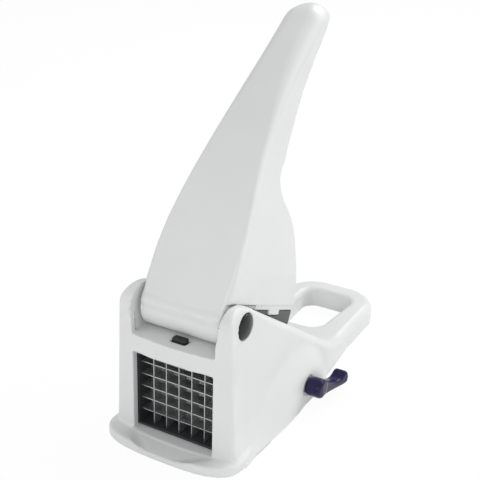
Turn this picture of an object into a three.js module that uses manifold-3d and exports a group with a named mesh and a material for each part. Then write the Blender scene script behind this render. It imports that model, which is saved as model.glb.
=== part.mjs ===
import * as THREE from 'three';
import { mergeVertices } from 'three/addons/utils/BufferGeometryUtils.js';
import Module from 'manifold-3d';

// A hand-operated french fry cutter: a white base with a blade grid in its front wall,
// a lever that swings a pegged pusher through the chamber, and a suction foot underneath.
// Millimetres, +X to the right seen from the front, +Y to the back, +Z up.
// The origin lies on the table, on the middle plane, below the blades' front edges.

// Driving dimensions of the blade grid
const cellsAcross = 6;
const cellsUp = 6;
const cellWidth = 11.2;
const cellHeight = 10.3;
const bladeThickness = 0.7;
const bladeDepth = 10.3;
const bladeOverhang = 1.2;
const bladeSlotPlay = 0.3;
const gridBottom = 10.4;
const cuttingBevel = 1.4;
const edgeFlat = 0.12;

// Driving dimensions of the body
const wallThickness = 2.8;
const frontFaceY = -9.5;
const frontBow = 2.2;
const frontWallDepth = 6;
const frontCornerRadius = 3;
const bowFadeLength = 24;
const earFlare = 3.4;
const earFlareLength = 22;
const bodyStation = 12;
const rimSteps = 4;
const bodyHalfWidth = 49.7;
const sideDraft = 4.6;
const draftHeight = 113;
const ledgeRoom = 10.5;
const ledgeThickness = 3;
const ledgeGap = 0.7;
const recessHalfWidth = 35.4;
const windowHalfWidth = 34.6;
const windowBottom = 8;
const windowRim = 2.1;
const earFrontAbovePivot = 7;
const earTopAbovePivot = 16.8;
const earTopY = 7;
const earEdgeRadius = 4;
const rimAnchorY = 54.5;
const rimAnchorBelowPivot = 8.4;
const rimSlopeShare = 0.66;
const rimEdgeRadius = 6;
const loopHeight = 19;
const loopBlendRadius = 60;
const loopRearY = 284.4;
const loopTurnLength = 34.4;
const loopTaperStartY = 110;
const loopHalfWidth = 43;
const loopHoleFrontY = 192;
const loopHoleRearY = 263;
const loopHoleHalfFront = 20;
const loopHoleHalfRear = 24.5;
const loopHoleCorner = 14;
const loopHoleFlare = 3.5;
const rearPowerShare = 2.5;
const rearStationPower = 1.5;
const rearEndShare = 0.004;
const faceRingShares = [0.34, 0.67];
const holeFlareShares = [[0, -2], [0.35, -0.7], [1, 0], [2.2, 1.2]];
const holeSteps = 5;

// Driving dimensions of the foot flange and the ramp below the window
const flangeHalfWidth = 57.6;
const flangeFrontY = -27.1;
const flangeHeight = 8;
const flangeRound = 2;
const flangeBackY = 40;
const flangeFadeShares = [[0.99, 0.2], [0.97, 0.5], [0.93, 0.8], [0.87, 1]];
const flangePowerShare = 2.7;
const flangeEdgeShare = 0.3;
const rampSplay = 12;
const rampTopHalfWidth = 45;
const rampLipHalfWidth = 24;
const rampLipHeight = 3.6;
const skirtFlareFront = 8;
const skirtFlareMax = 9.5;
const skirtFlareEndY = 200;
const skirtMaxY = 76;
const skirtHeight = 30;
const skirtGrowLength = 12;
const fenderY = 95;
const fenderReachFront = 54;
const fenderReachRear = 42;
const fenderHeight = 39;
const fenderHalfWidth = 57.2;
const fenderBand = 0.14;

// Driving dimensions of the chamber and the hinge
const pivotY = 17;
const pivotAboveLedge = 17.1;
const chamberHalfWidth = 37;
const troughRadius = 110;
const troughRimAngle = -26.2;
const troughSteps = 14;
const troughFacets = 90;
const solidFrontY = 4;
const earRootBelowLedge = 4.9;
const earRootY = 50;
const axleRadius = 4;
const axlePlay = 0.3;
const axleEndGap = 0.3;
const capRadius = 9.6;
const capSeatDepth = 3.4;
const capPlay = 0.35;
const capDome = 2.4;
const capRim = 0.6;
const capSteps = 6;

// Driving dimensions of the lever
const leverRestAngle = 49.5;
const leverClosingAngle = 62.5;
const barrelRadius = 17.6;
const leverRootHalf = 36;
const leverGripHalf = 14.4;
const leverWaist = 115;
const leverWaistPower = 2.8;
const leverDraftShare = 0.037;
const leverSideMax = 36.4;
const plateLap = 1;
const leverLength = 266;
const leverWall = 2.8;
const leverCrown = 1.6;
const tipTurnLength = 20;
const tipDropLength = 24;
const tipDropBelow = 14;
const tipFlatShare = 0.02;
const leverStart = -6;
const leverDepth = 120;
const leverStation = 14;
const faceClimbLength = 101;
const shoulderShare = 0.8;
const shoulderSteps = 4;
const crownShare = 0.75;
const tipShares = [1.5, 1.2, 0.95, 0.75, 0.57, 0.42, 0.29, 0.18, 0.09, 0.03, 0];
const cheekBackShares = [[0.414, 0.858], [0.464, 0.764], [0.57, 0.707], [0.682, 0.584], [0.756, 0.477],
  [0.804, 0.348], [0.837, 0.21], [0.897, 0.098], [0.96, 0.059], [1.051, 0.072]];
const gripLowShares = [[0.62, 0.52], [0.73, 0.46], [0.838, 0.71], [0.902, 0.85], [0.94, 0.94],
  [0.9635, 1.21], [0.979, 1.5], [0.9925, 1.52], [0.999, 1.15], [1.001, 0]];
const faceEdgeRadius = 3.2;
const gripEdgeRadius = 7.5;
const gripStart = 125;
const faceRise = 27.7;
const faceRiseAtBarrel = 18.3;
const faceFall = 20;
const faceFallLength = 155;
const faceFallPower = 1.75;
const gripDepth = 9.6;
const plateOffset = 13;
const plateThickness = 3.7;
const plateEnd = 94.6;
const plateTilt = 4.3;
const gripRibThickness = 2;
const gripRibCount = 3;
const gripRibGap = 30;
const gripRibShare = 0.4;
const snapTabWidth = 18;
const snapTabCentre = 63;
const snapTabDrop = 4;
const snapTabDepth = 2.6;

// Driving dimensions of the pusher
const pusherHalfWidth = 34.6;
const pusherFaceY = 16.6;
const pusherTop = 23;
const pusherBackOffset = 9;
const pusherPlate = 4;
const pegSide = 8.2;
const pegTipSide = 7.2;
const pegReach = 3.2;
const bottomChamfer = 1.4;
const pusherRib = 2;
const fitGap = 0.3;

// Driving dimensions of the blade frame and its catch
const frameHalfWidth = 36.6;
const frameRim = 3.2;
const frameDepth = 16;
const framePostWidth = 7;
const framePostOuterX = 31.5;
const buttonWidth = 14;
const buttonDepth = 7.4;
const buttonProud = 2.6;
const buttonRound = 1.6;
const buttonEdgeShare = 0.15;
const buttonSlotPlay = 0.7;
const tongueThickness = 2;
const tongueDepth = 6;
const tongueDrop = 1.2;

// Driving dimensions of the suction foot
const cupY = 102;
const cupRadius = 44;
const cupLipHeight = 0.3;
const cupEdge = 1;
const cupSkirtHeight = 1.8;
const cupCrown = 4.6;
const cupCrownRadius = 20;
const cupBossRadius = 14;
const cupBossHeight = 5.2;
const cupHollow = 1.5;
const shaftHeight = 18;
const shaftRadius = 5;
const crankThrow = 2.1;
const crankPinRadius = 2.5;
const crankPinLength = 8.4;
const crankRestAngle = -45;
const stemHalfWidth = 4;
const stemWall = 2.5;
const stemFootRadius = 11;
const stemFootThickness = 2;
const wellPlay = 0.4;
const wellWall = 2.4;
const wellFootHeight = 11;
const wellTopHeight = 60;
const shaftBossRadius = 9;
const shaftBossInnerX = 46;
const clipRadius = 8;
const clipThickness = 1.2;
const clipGrooveDepth = 1.2;
const clipMouthShare = 0.72;
const driveSide = 6.4;
const driveLength = 9;

// Driving dimensions of the suction lever
const hubRadius = 8.6;
const hubInnerX = 56.2;
const hubOuterX = 71;
const armLength = 42;
const armThickness = 9;
const armFlare = 4;
const armRound = 2.2;
const armShares = [[0, 0.98, -0.98], [0.1, 0.88, -1], [0.19, 0.64, -0.98], [0.285, 0.35, -0.97],
  [0.4, 0.03, -1.08], [0.52, -0.21, -1.19], [0.64, -0.3, -1.27], [0.75, -0.14, -1.34],
  [0.81, 0.08, -1.38], [0.86, 0.22, -1.4], [0.91, 0.24, -1.42], [0.955, 0.12, -1.36], [0.985, -0.1, -1.24],
  [1, -0.36, -1.05]];

// One overrun serves every cut that runs past a face
const overrun = 400;
const weldDistance = 0.0001;
const arcSteps = 8;
const eyeSteps = 6;
const roundSteps = 28;
const fullTurn = Math.PI * 2;
const quarterTurn = Math.PI / 2;
const degree = Math.PI / 180;

const wasm = await Module();
wasm.setup();

// Closed three.js geometry to a solid that can be cut and joined, turned to face out
function solidOf(geometry) {
  const bare = geometry.clone();
  bare.deleteAttribute('normal');
  bare.deleteAttribute('uv');
  const merged = mergeVertices(bare, weldDistance);
  const make = (index) => new wasm.Manifold(new wasm.Mesh({
    numProp: 3,
    vertProperties: new Float32Array(merged.attributes.position.array),
    triVerts: new Uint32Array(index),
  }));
  const index = Array.from(merged.index.array);
  const solid = make(index);
  if (solid.volume() > 0) return solid;
  return make(index.reverse());
}

// Solid back to a three.js geometry
function geometryOf(solid) {
  const mesh = solid.getMesh();
  const geometry = new THREE.BufferGeometry();
  geometry.setAttribute('position', new THREE.BufferAttribute(new Float32Array(mesh.vertProperties), 3));
  geometry.setIndex(new THREE.BufferAttribute(new Uint32Array(mesh.triVerts), 1));
  geometry.computeVertexNormals();
  return geometry;
}

function joined(...solids) {
  return solids.reduce((whole, next) => whole.add(next));
}

function cutBy(solid, ...tools) {
  return tools.reduce((whole, tool) => whole.subtract(tool), solid);
}

// Prisms along each axis from an outline of two coordinates
const alongX = new THREE.Matrix4().set(0, 0, 1, 0, 1, 0, 0, 0, 0, 1, 0, 0, 0, 0, 0, 1);
const alongY = new THREE.Matrix4().set(1, 0, 0, 0, 0, 0, -1, 0, 0, 1, 0, 0, 0, 0, 0, 1);

function extruded(outline, depth) {
  const shape = new THREE.Shape(outline.map(([a, b]) => new THREE.Vector2(a, b)));
  return new THREE.ExtrudeGeometry(shape, { depth, bevelEnabled: false });
}

function prismX(outlineYZ, x0, x1) {
  const geometry = extruded(outlineYZ, x1 - x0).applyMatrix4(alongX);
  return solidOf(geometry.translate(x0, 0, 0));
}

function prismY(outlineXZ, y0, y1) {
  const geometry = extruded(outlineXZ, y1 - y0).applyMatrix4(alongY);
  return solidOf(geometry.translate(0, y1, 0));
}

function prismZ(outlineXY, z0, z1) {
  return solidOf(extruded(outlineXY, z1 - z0).translate(0, 0, z0));
}

function box(x0, x1, y0, y1, z0, z1) {
  const geometry = new THREE.BoxGeometry(x1 - x0, y1 - y0, z1 - z0);
  return solidOf(geometry.translate((x0 + x1) / 2, (y0 + y1) / 2, (z0 + z1) / 2));
}

function rodX(radius, x0, x1, y, z, steps = roundSteps) {
  const geometry = new THREE.CylinderGeometry(radius, radius, x1 - x0, steps);
  return solidOf(geometry.rotateZ(-quarterTurn).translate((x0 + x1) / 2, y, z));
}

// Points of an arc about a centre, from one angle to another, in the outline's plane
function arc(centreA, centreB, radius, from, to, steps = arcSteps) {
  const points = [];
  for (let i = 0; i <= steps; i += 1) {
    const angle = from + (to - from) * i / steps;
    points.push([centreA + radius * Math.cos(angle), centreB + radius * Math.sin(angle)]);
  }
  return points;
}

function roundedBoxOutline(a0, a1, b0, b1, radius, steps = 3) {
  return [
    ...arc(a1 - radius, b0 + radius, radius, -quarterTurn, 0, steps),
    ...arc(a1 - radius, b1 - radius, radius, 0, quarterTurn, steps),
    ...arc(a0 + radius, b1 - radius, radius, quarterTurn, quarterTurn * 2, steps),
    ...arc(a0 + radius, b0 + radius, radius, quarterTurn * 2, quarterTurn * 3, steps),
  ];
}

// A skin over rings of equal count, closed at both ends by a fan about each end's middle
function loft(rings) {
  const count = rings[0].length;
  const positions = rings.flat().flat();
  const index = [];
  for (let r = 0; r + 1 < rings.length; r += 1) {
    for (let i = 0; i < count; i += 1) {
      const a = r * count + i;
      const b = r * count + (i + 1) % count;
      index.push(a, b, b + count, a, b + count, a + count);
    }
  }
  for (const end of [0, rings.length - 1]) {
    const middle = [0, 1, 2].map((k) => rings[end].reduce((sum, p) => sum + p[k], 0) / count);
    const centre = positions.length / 3;
    positions.push(...middle);
    for (let i = 0; i < count; i += 1) {
      const a = end * count + i;
      const b = end * count + (i + 1) % count;
      if (end === 0) index.push(centre, b, a);
      else index.push(centre, a, b);
    }
  }
  const geometry = new THREE.BufferGeometry();
  geometry.setAttribute('position', new THREE.Float32BufferAttribute(positions, 3));
  geometry.setIndex(index);
  return solidOf(geometry);
}

function clamp01(value) {
  return Math.min(1, Math.max(0, value));
}

function smooth01(value) {
  const t = clamp01(value);
  return t * t * (3 - 2 * t);
}

// Materials
const whitePlastic = { color: 0xe3e5e3, roughness: 0.42, metalness: 0 };
const charcoalPlastic = { color: 0x22282a, roughness: 0.5, metalness: 0 };
const greyPlastic = { color: 0x5f6568, roughness: 0.5, metalness: 0 };
const capPlastic = { color: 0x474c4c, roughness: 0.25, metalness: 0 };
const purplePlastic = { color: 0x2f2858, roughness: 0.25, metalness: 0 };
const steel = { color: 0xb4b8ba, roughness: 0.28, metalness: 1 };
const blackRubber = { color: 0x1c1d1f, roughness: 0.8, metalness: 0 };

const cutter = new THREE.Group();

function node(name, solid, material, parent = cutter) {
  const mesh = new THREE.Mesh(geometryOf(solid), new THREE.MeshStandardMaterial(material));
  mesh.name = name;
  parent.add(mesh);
  return mesh;
}

// Places that follow from the sizes above
const gridHalfWidth = cellWidth * cellsAcross / 2;
const gridTop = gridBottom + cellHeight * cellsUp;
const windowTop = gridTop + windowRim;
const frameTop = gridTop + frameRim;
const ledgeHeight = frameTop + ledgeRoom + ledgeThickness;
const pivotZ = ledgeHeight + pivotAboveLedge;
const earFrontHeight = pivotZ + earFrontAbovePivot;
const earTopHeight = pivotZ + earTopAbovePivot;
const earRootHeight = ledgeHeight - earRootBelowLedge;
const rimAnchorHeight = pivotZ - rimAnchorBelowPivot;
const slope = Math.atan(rimSlopeShare);
const rimOffset = rimAnchorY * Math.sin(slope) + rimAnchorHeight * Math.cos(slope);
const earArcRadius = (rimOffset - earTopY * Math.sin(slope) - earTopHeight * Math.cos(slope))
  / (1 - Math.cos(slope));
const earArcEndY = earTopY + earArcRadius * Math.sin(slope);
const rimFootY = rimAnchorY + (rimAnchorHeight - loopHeight) / rimSlopeShare;
const blendEndY = rimFootY + loopBlendRadius * Math.tan(slope / 2);
const blendStartY = blendEndY - loopBlendRadius * Math.sin(slope);
const bodyFrontY = frontFaceY - frontBow;
const crankLow = crankThrow * Math.cos(crankRestAngle * degree);
const eyeY = cupY + (crankLow + crankThrow) / 2;
const eyeHalfY = (crankThrow - crankLow) / 2 + crankPinRadius + fitGap;
const eyeHalfZ = crankPinRadius + fitGap;
const eyeZ = shaftHeight + crankThrow * Math.sin(crankRestAngle * degree);
const wallBackY = frontFaceY + frontWallDepth;
const ledgeBackY = pivotY - Math.sqrt(
  Math.max((barrelRadius + ledgeGap) ** 2 - (pivotZ - ledgeHeight) ** 2, 0));

// Height of the body's upper edge: a quarter ellipse up the ear's front, an arc over its top,
// a straight fall, and a hollow arc that runs out level on the grip loop
function topHeight(y) {
  if (y < earTopY) {
    const share = clamp01((earTopY - y) / (earTopY - bodyFrontY));
    return earFrontHeight + (earTopHeight - earFrontHeight) * Math.sqrt(1 - share * share);
  }
  if (y < earArcEndY) {
    const run = y - earTopY;
    return earTopHeight - earArcRadius + Math.sqrt(earArcRadius ** 2 - run ** 2);
  }
  if (y < blendStartY) return rimAnchorHeight - (y - rimAnchorY) * rimSlopeShare;
  if (y < blendEndY) {
    const run = blendEndY - y;
    return loopHeight + loopBlendRadius - Math.sqrt(loopBlendRadius ** 2 - run ** 2);
  }
  return loopHeight;
}

// Half width of the body at a place along it and a height: a drafted wall, a skirt that flares
// towards the table, a fender bulge over the suction foot, ears that open out towards the front
// edge, and rounded ends in plan
function skirtFlare(y) {
  if (y < skirtMaxY) {
    return skirtFlareFront + (skirtFlareMax - skirtFlareFront) * smooth01((y - frontFaceY) / skirtMaxY);
  }
  return skirtFlareMax * (1 - clamp01((y - skirtMaxY) / (skirtFlareEndY - skirtMaxY)));
}

// Share of the fender bulge at a place on the side wall: one inside its arch, zero well outside
function fenderShare(y, z) {
  const reach = y < fenderY ? fenderReachFront : fenderReachRear;
  const ratio = Math.hypot((y - fenderY) / reach, Math.max(z, 0) / fenderHeight);
  return smooth01((1 + fenderBand - ratio) / (fenderBand * 2));
}

function halfWidth(y, z) {
  const along = clamp01((y - loopTaperStartY) / (loopRearY - loopTaperStartY));
  const wallLine = bodyHalfWidth - (bodyHalfWidth - loopHalfWidth) * along;
  const fromFront = y - bodyFrontY;
  const skirt = (1 - clamp01(z / skirtHeight)) ** 2 * clamp01(fromFront / skirtGrowLength);
  let width = wallLine - sideDraft * z / draftHeight + skirtFlare(y) * skirt;
  width += Math.max(fenderHalfWidth - width, 0) * fenderShare(y, z);
  width += earFlare * (1 - clamp01(fromFront / earFlareLength)) ** 2;
  if (fromFront < frontCornerRadius) {
    const left = frontCornerRadius - fromFront;
    width -= frontCornerRadius - Math.sqrt(frontCornerRadius ** 2 - left ** 2);
  }
  const turn = clamp01((y - loopRearY + loopTurnLength) / loopTurnLength);
  return width * (1 - turn ** rearPowerShare) ** (1 / rearPowerShare);
}

const heightShares = [0, 0.04, 0.08, 0.13, 0.18, 0.23, 0.28, 0.33, 0.38, 0.45, 0.6, 0.8, 1];
const bodyShares = [0, 0.01, 0.03, 0.06, 0.1, 0.14, 0.2, 0.27, 0.36, 0.46, 0.58, 0.72, 0.86, 1];

function bodySection(y, inset, bottom) {
  const blend = smooth01((y - earArcEndY) / earArcRadius);
  const radius = Math.max(earEdgeRadius + (rimEdgeRadius - earEdgeRadius) * blend - inset, fitGap);
  const top = topHeight(y) - inset;
  const half = [];
  for (const share of heightShares) {
    const z = bottom + (top - radius - bottom) * share;
    half.push([Math.max(halfWidth(y, z) - inset, radius), z]);
  }
  const rimX = half[half.length - 1][0];
  for (let i = 1; i <= rimSteps; i += 1) {
    const angle = quarterTurn * i / rimSteps;
    half.push([rimX - radius * (1 - Math.cos(angle)), top - radius * (1 - Math.sin(angle))]);
  }
  const mirrored = half.slice().reverse().map(([x, z]) => [-x, z]);
  return [...half, ...mirrored];
}

// Stations along the body, close together where its outline turns
function bodyStations(start, end) {
  const stops = [start, ...bodyShares.map((s) => start + bodyStation * s), earTopY, pivotY,
    earArcEndY, rimAnchorY - earArcRadius / 2, rimAnchorY, blendStartY, blendEndY];
  for (let y = earArcEndY + bodyStation; y < end - loopTurnLength; y += bodyStation) stops.push(y);
  for (const share of bodyShares) stops.push(end - loopTurnLength * share ** rearStationPower);
  const inside = stops.filter((y) => y >= start && y <= end).sort((a, b) => a - b);
  return inside.filter((y, i) => i === 0 || y - inside[i - 1] > fitGap);
}

function bodySkin(start, end, inset, bottom) {
  const last = end - loopTurnLength * rearEndShare;
  return bodyStations(start, last).map((y) => bodySection(y, inset, bottom).map(([x, z]) => [x, y, z]));
}

function bodyOuter() {
  const rings = bodySkin(bodyFrontY, loopRearY, 0, 0);
  const face = rings[0];
  const middle = [0, bodyFrontY, earFrontHeight / 2];
  const faceRings = faceRingShares.map((share) => face.map((p) => (
    p.map((value, k) => middle[k] + (value - middle[k]) * share))));
  const bowed = [...faceRings, ...rings].map((ring) => ring.map(([x, y, z]) => {
    const fade = 1 - smooth01((y - bodyFrontY) / bowFadeLength);
    return [x, y + frontBow * fade * (x / windowHalfWidth) ** 2, z];
  }));
  return loft(bowed);
}

// Foot flange: a bowed outline, rounded along its top and bottom edges, with the ramp cut in
function flangeOutline(inset) {
  const points = [];
  const steps = arcSteps * 3;
  for (let i = 0; i <= steps; i += 1) {
    const angle = Math.PI * i / steps;
    const x = Math.sign(Math.cos(angle)) * Math.abs(Math.cos(angle)) ** (2 / flangePowerShare);
    const y = Math.abs(Math.sin(angle)) ** (2 / flangePowerShare);
    points.push([-x * (flangeHalfWidth - inset), y * (flangeFrontY + inset)]);
  }
  const right = flangeFadeShares.map(([x, y]) => [flangeHalfWidth * x - inset, flangeBackY * y]);
  const left = right.slice().reverse().map(([x, y]) => [-x, y]);
  return [...points, ...right, ...left];
}

function flange() {
  const edge = flangeRound * flangeEdgeShare;
  const levels = [[edge, 0], [0, flangeRound / 2], [0, flangeHeight - flangeRound],
    [edge, flangeHeight - edge], [flangeRound, flangeHeight]];
  const rings = levels.map(([inset, z]) => flangeOutline(inset).map(([x, y]) => [x, y, z]));
  const lipY = flangeFrontY - flangeRound;
  const scoop = loft([
    [[-rampTopHalfWidth, frontFaceY, windowBottom], [-rampLipHalfWidth, lipY, rampLipHeight],
      [rampLipHalfWidth, lipY, rampLipHeight], [rampTopHalfWidth, frontFaceY, windowBottom]],
    [[-rampTopHalfWidth - fitGap, frontFaceY, windowBottom + fitGap],
      [-rampLipHalfWidth - rampSplay, lipY, flangeHeight + flangeRound],
      [rampLipHalfWidth + rampSplay, lipY, flangeHeight + flangeRound],
      [rampTopHalfWidth + fitGap, frontFaceY, windowBottom + fitGap]],
  ]);
  return cutBy(loft(rings), scoop);
}

// Outline in plan of the loop's hole: a tapered window with round corners
function holeOutline(inset) {
  const radius = loopHoleCorner - inset;
  const front = loopHoleFrontY + inset;
  const rear = loopHoleRearY - inset;
  const halfFront = loopHoleHalfFront - inset;
  const halfRear = loopHoleHalfRear - inset;
  return [
    ...arc(halfFront - radius, front + radius, radius, -quarterTurn, 0, holeSteps),
    ...arc(halfRear - radius, rear - radius, radius, 0, quarterTurn, holeSteps),
    ...arc(radius - halfRear, rear - radius, radius, quarterTurn, quarterTurn * 2, holeSteps),
    ...arc(radius - halfFront, front + radius, radius, quarterTurn * 2, quarterTurn * 3, holeSteps),
  ];
}

function holePlug(inset, flare) {
  const rim = holeFlareShares.map(([out, up]) => [flare * out, loopHeight + flare * up]);
  const levels = [[0, -overrun], ...rim, [rim[rim.length - 1][0], overrun]];
  return loft(levels.map(([out, z]) => holeOutline(inset - out).map(([x, y]) => [x, y, z])));
}

// Side outline of the space inside the chamber, or of its walls when grown: a level floor that
// turns up behind in an arc about the hinge
function chamberOutline(grow) {
  const radius = troughRadius + grow;
  const floor = windowBottom - grow;
  const turnAngle = -Math.asin((pivotZ - floor) / radius);
  return [
    [-overrun, floor],
    ...arc(pivotY, pivotZ, radius, turnAngle, troughRimAngle * degree, troughSteps),
    [overrun, overrun],
    [-overrun, overrun],
  ];
}

// Space between the outer skin and the chamber's walls, open below and closed under the ears
function skinHollow() {
  const rings = bodySkin(solidFrontY, loopRearY - wallThickness, wallThickness, -wallThickness);
  return cutBy(
    loft(rings),
    prismX(chamberOutline(wallThickness), -chamberHalfWidth - wallThickness,
      chamberHalfWidth + wallThickness),
    box(-overrun, overrun, -overrun, earRootY, earRootHeight, overrun),
    holePlug(-wallThickness, 0),
  );
}

// Square well under the trough that guides the suction stem
function stemWell() {
  const innerX = stemHalfWidth + wellPlay;
  const innerY = eyeHalfY + stemWall + wellPlay;
  const outer = box(-innerX - wellWall, innerX + wellWall, eyeY - innerY - wellWall,
    eyeY + innerY + wellWall, wellFootHeight, wellTopHeight);
  const inner = box(-innerX, innerX, eyeY - innerY, eyeY + innerY, -overrun, overrun);
  const underTrough = rodX(troughRadius + wallThickness / 2, -overrun, overrun, pivotY, pivotZ, troughFacets);
  return cutBy(outer, inner, underTrough);
}

// Inner boss round the shaft's bore
function shaftBoss() {
  return rodX(shaftBossRadius, shaftBossInnerX, hubInnerX, cupY, shaftHeight);
}

// Round seats in the ears for the two caps, and the bore for the axle between them
function hingeCuts() {
  const ear = halfWidth(pivotY, pivotZ);
  const seat = capRadius + capPlay;
  return [
    rodX(seat, ear - capSeatDepth, ear + overrun, pivotY, pivotZ),
    rodX(seat, -ear - overrun, capSeatDepth - ear, pivotY, pivotZ),
    rodX(axleRadius + axlePlay, -ear, ear, pivotY, pivotZ),
  ];
}

// Chamber, less the front wall, the ledge above the window and the two front edges of the ears
function chamberCut() {
  return cutBy(
    prismX(chamberOutline(0), -chamberHalfWidth, chamberHalfWidth),
    box(-overrun, overrun, -overrun, wallBackY, -overrun, ledgeHeight),
    box(-overrun, overrun, -overrun, ledgeBackY, ledgeHeight - ledgeThickness, ledgeHeight),
    box(recessHalfWidth, overrun, -overrun, wallBackY, -overrun, overrun),
    box(-overrun, -recessHalfWidth, -overrun, wallBackY, -overrun, overrun),
  );
}

function buttonSlot() {
  const halfX = buttonWidth / 2 + buttonSlotPlay;
  const halfY = buttonDepth / 2 + buttonSlotPlay;
  return prismZ(roundedBoxOutline(-halfX, halfX, -halfY, halfY, buttonRound),
    ledgeHeight - ledgeThickness - tongueDrop - tongueThickness * 3, ledgeHeight + ledgeThickness);
}

function baseHousing() {
  const outer = joined(bodyOuter(), flange());
  const shell = joined(cutBy(outer, skinHollow()), stemWell(), shaftBoss().intersect(outer));
  const window = box(-windowHalfWidth, windowHalfWidth, -overrun, wallBackY + fitGap, windowBottom,
    windowTop);
  const shaftBore = rodX(shaftRadius + axlePlay, 0, hubInnerX + overrun, cupY, shaftHeight);
  const hubSeat = rodX(hubRadius + fitGap * 2, hubInnerX, hubInnerX + overrun, cupY, shaftHeight);
  return cutBy(shell, chamberCut(), window, buttonSlot(), holePlug(0, loopHoleFlare), shaftBore,
    hubSeat, ...hingeCuts());
}

// Blade frame: a moulded ring with a slot for every blade end, and two posts under the ledge
function bladeFrame() {
  const back = wallBackY + fitGap;
  const bottom = windowBottom + fitGap;
  const ring = box(-frameHalfWidth, frameHalfWidth, back, back + frameDepth, bottom, frameTop);
  const opening = box(-gridHalfWidth, gridHalfWidth, -overrun, overrun, gridBottom, gridTop);
  const posts = [-1, 1].map((side) => {
    const middle = side * (framePostOuterX - framePostWidth / 2);
    return box(middle - framePostWidth / 2, middle + framePostWidth / 2, -tongueDepth / 2,
      tongueDepth / 2, frameTop - bladeThickness, ledgeHeight - ledgeThickness - fitGap);
  });
  const half = bladeThickness / 2 + bladeSlotPlay;
  const slots = [];
  for (let i = 1; i < cellsAcross; i += 1) {
    const x = -gridHalfWidth + cellWidth * i;
    slots.push(box(x - half, x + half, -bladeSlotPlay, bladeDepth + bladeSlotPlay,
      gridBottom - bladeOverhang - bladeSlotPlay, gridTop + bladeOverhang + bladeSlotPlay));
  }
  for (let i = 1; i < cellsUp; i += 1) {
    const z = gridBottom + cellHeight * i;
    slots.push(box(-gridHalfWidth - bladeOverhang - bladeSlotPlay,
      gridHalfWidth + bladeOverhang + bladeSlotPlay, -bladeSlotPlay, bladeDepth + bladeSlotPlay,
      z - half, z + half));
  }
  return cutBy(joined(ring, ...posts), opening, ...slots);
}

// One blade: a strip with a ground cutting edge at the chamber side and half-depth slots
function bladeProfile() {
  return [
    [-bladeThickness / 2, 0], [bladeThickness / 2, 0],
    [bladeThickness / 2, bladeDepth - cuttingBevel], [edgeFlat, bladeDepth],
    [-edgeFlat, bladeDepth], [-bladeThickness / 2, bladeDepth - cuttingBevel],
  ];
}

function uprightBlade(column) {
  const x = -gridHalfWidth + cellWidth * column;
  const strip = prismZ(bladeProfile(), gridBottom - bladeOverhang, gridTop + bladeOverhang);
  const half = bladeThickness / 2 + bladeSlotPlay;
  const slots = [];
  for (let i = 1; i < cellsUp; i += 1) {
    const z = gridBottom + cellHeight * i;
    slots.push(box(-overrun, overrun, bladeDepth / 2 - bladeSlotPlay / 2, overrun, z - half, z + half));
  }
  return cutBy(strip, ...slots).translate([x, 0, 0]);
}

function levelBlade(row) {
  const z = gridBottom + cellHeight * row;
  const length = (gridHalfWidth + bladeOverhang) * 2;
  const strip = solidOf(extruded(bladeProfile(), length).applyMatrix4(
    new THREE.Matrix4().set(0, 0, 1, 0, 0, 1, 0, 0, -1, 0, 0, 0, 0, 0, 0, 1))
    .translate(-length / 2, 0, 0));
  const half = bladeThickness / 2 + bladeSlotPlay;
  const slots = [];
  for (let i = 1; i < cellsAcross; i += 1) {
    const x = -gridHalfWidth + cellWidth * i;
    slots.push(box(x - half, x + half, -overrun, bladeDepth / 2 + bladeSlotPlay / 2, -overrun, overrun));
  }
  return cutBy(strip, ...slots).translate([0, 0, z]);
}

// Catch tongue: springs at the left post and carries the button that shows above the ledge
const tongueTop = ledgeHeight - ledgeThickness - tongueDrop;
const tongueRootX = framePostWidth + fitGap - framePostOuterX;

function catchTongue() {
  const half = buttonWidth / 2;
  const arm = box(tongueRootX, half, -tongueDepth / 2, tongueDepth / 2, tongueTop - tongueThickness,
    tongueTop);
  const outline = (inset) => roundedBoxOutline(-half + inset, half - inset, -buttonDepth / 2 + inset,
    buttonDepth / 2 - inset, buttonRound);
  const top = ledgeHeight + buttonProud;
  const edge = buttonRound * buttonEdgeShare;
  const levels = [[0, tongueTop - tongueThickness], [0, top - buttonRound / 2], [edge, top - edge],
    [buttonRound / 2, top]];
  return joined(arm, loft(levels.map(([inset, z]) => outline(inset).map(([x, y]) => [x, y, z]))));
}

// Domed cap over each end of the hinge axle
function pivotCap(side) {
  const seat = halfWidth(pivotY, pivotZ) - capSeatDepth + fitGap;
  const rim = halfWidth(pivotY, pivotZ) + capRim;
  const sphere = (capRadius ** 2 + capDome ** 2) / (2 * capDome);
  const sweep = Math.asin(capRadius / sphere);
  const profile = [new THREE.Vector2(0, seat), new THREE.Vector2(capRadius, seat)];
  for (let i = 0; i <= capSteps; i += 1) {
    const angle = sweep * (1 - i / capSteps);
    const height = rim + capDome - sphere * (1 - Math.cos(angle));
    profile.push(new THREE.Vector2(sphere * Math.sin(angle), height));
  }
  const turned = new THREE.LatheGeometry(profile, roundSteps).rotateZ(-quarterTurn);
  const solid = solidOf(turned).translate([0, pivotY, pivotZ]);
  return side > 0 ? solid : solid.mirror([1, 0, 0]);
}

// Lever, drawn along its own length: +Y from the hinge to the tip, +Z out of its front face
function faceHeight(s) {
  const climb = Math.sin(quarterTurn * clamp01((s - leverStart) / faceClimbLength));
  const past = Math.max(s - leverStart - faceClimbLength, 0) / faceFallLength;
  const rise = faceRiseAtBarrel + (faceRise - faceRiseAtBarrel) * climb
    - faceFall * past ** faceFallPower;
  const tip = clamp01((s - leverLength + tipDropLength) / tipDropLength);
  return rise - (rise + tipDropBelow) * (1 - Math.sqrt(1 - tip * tip));
}

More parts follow.
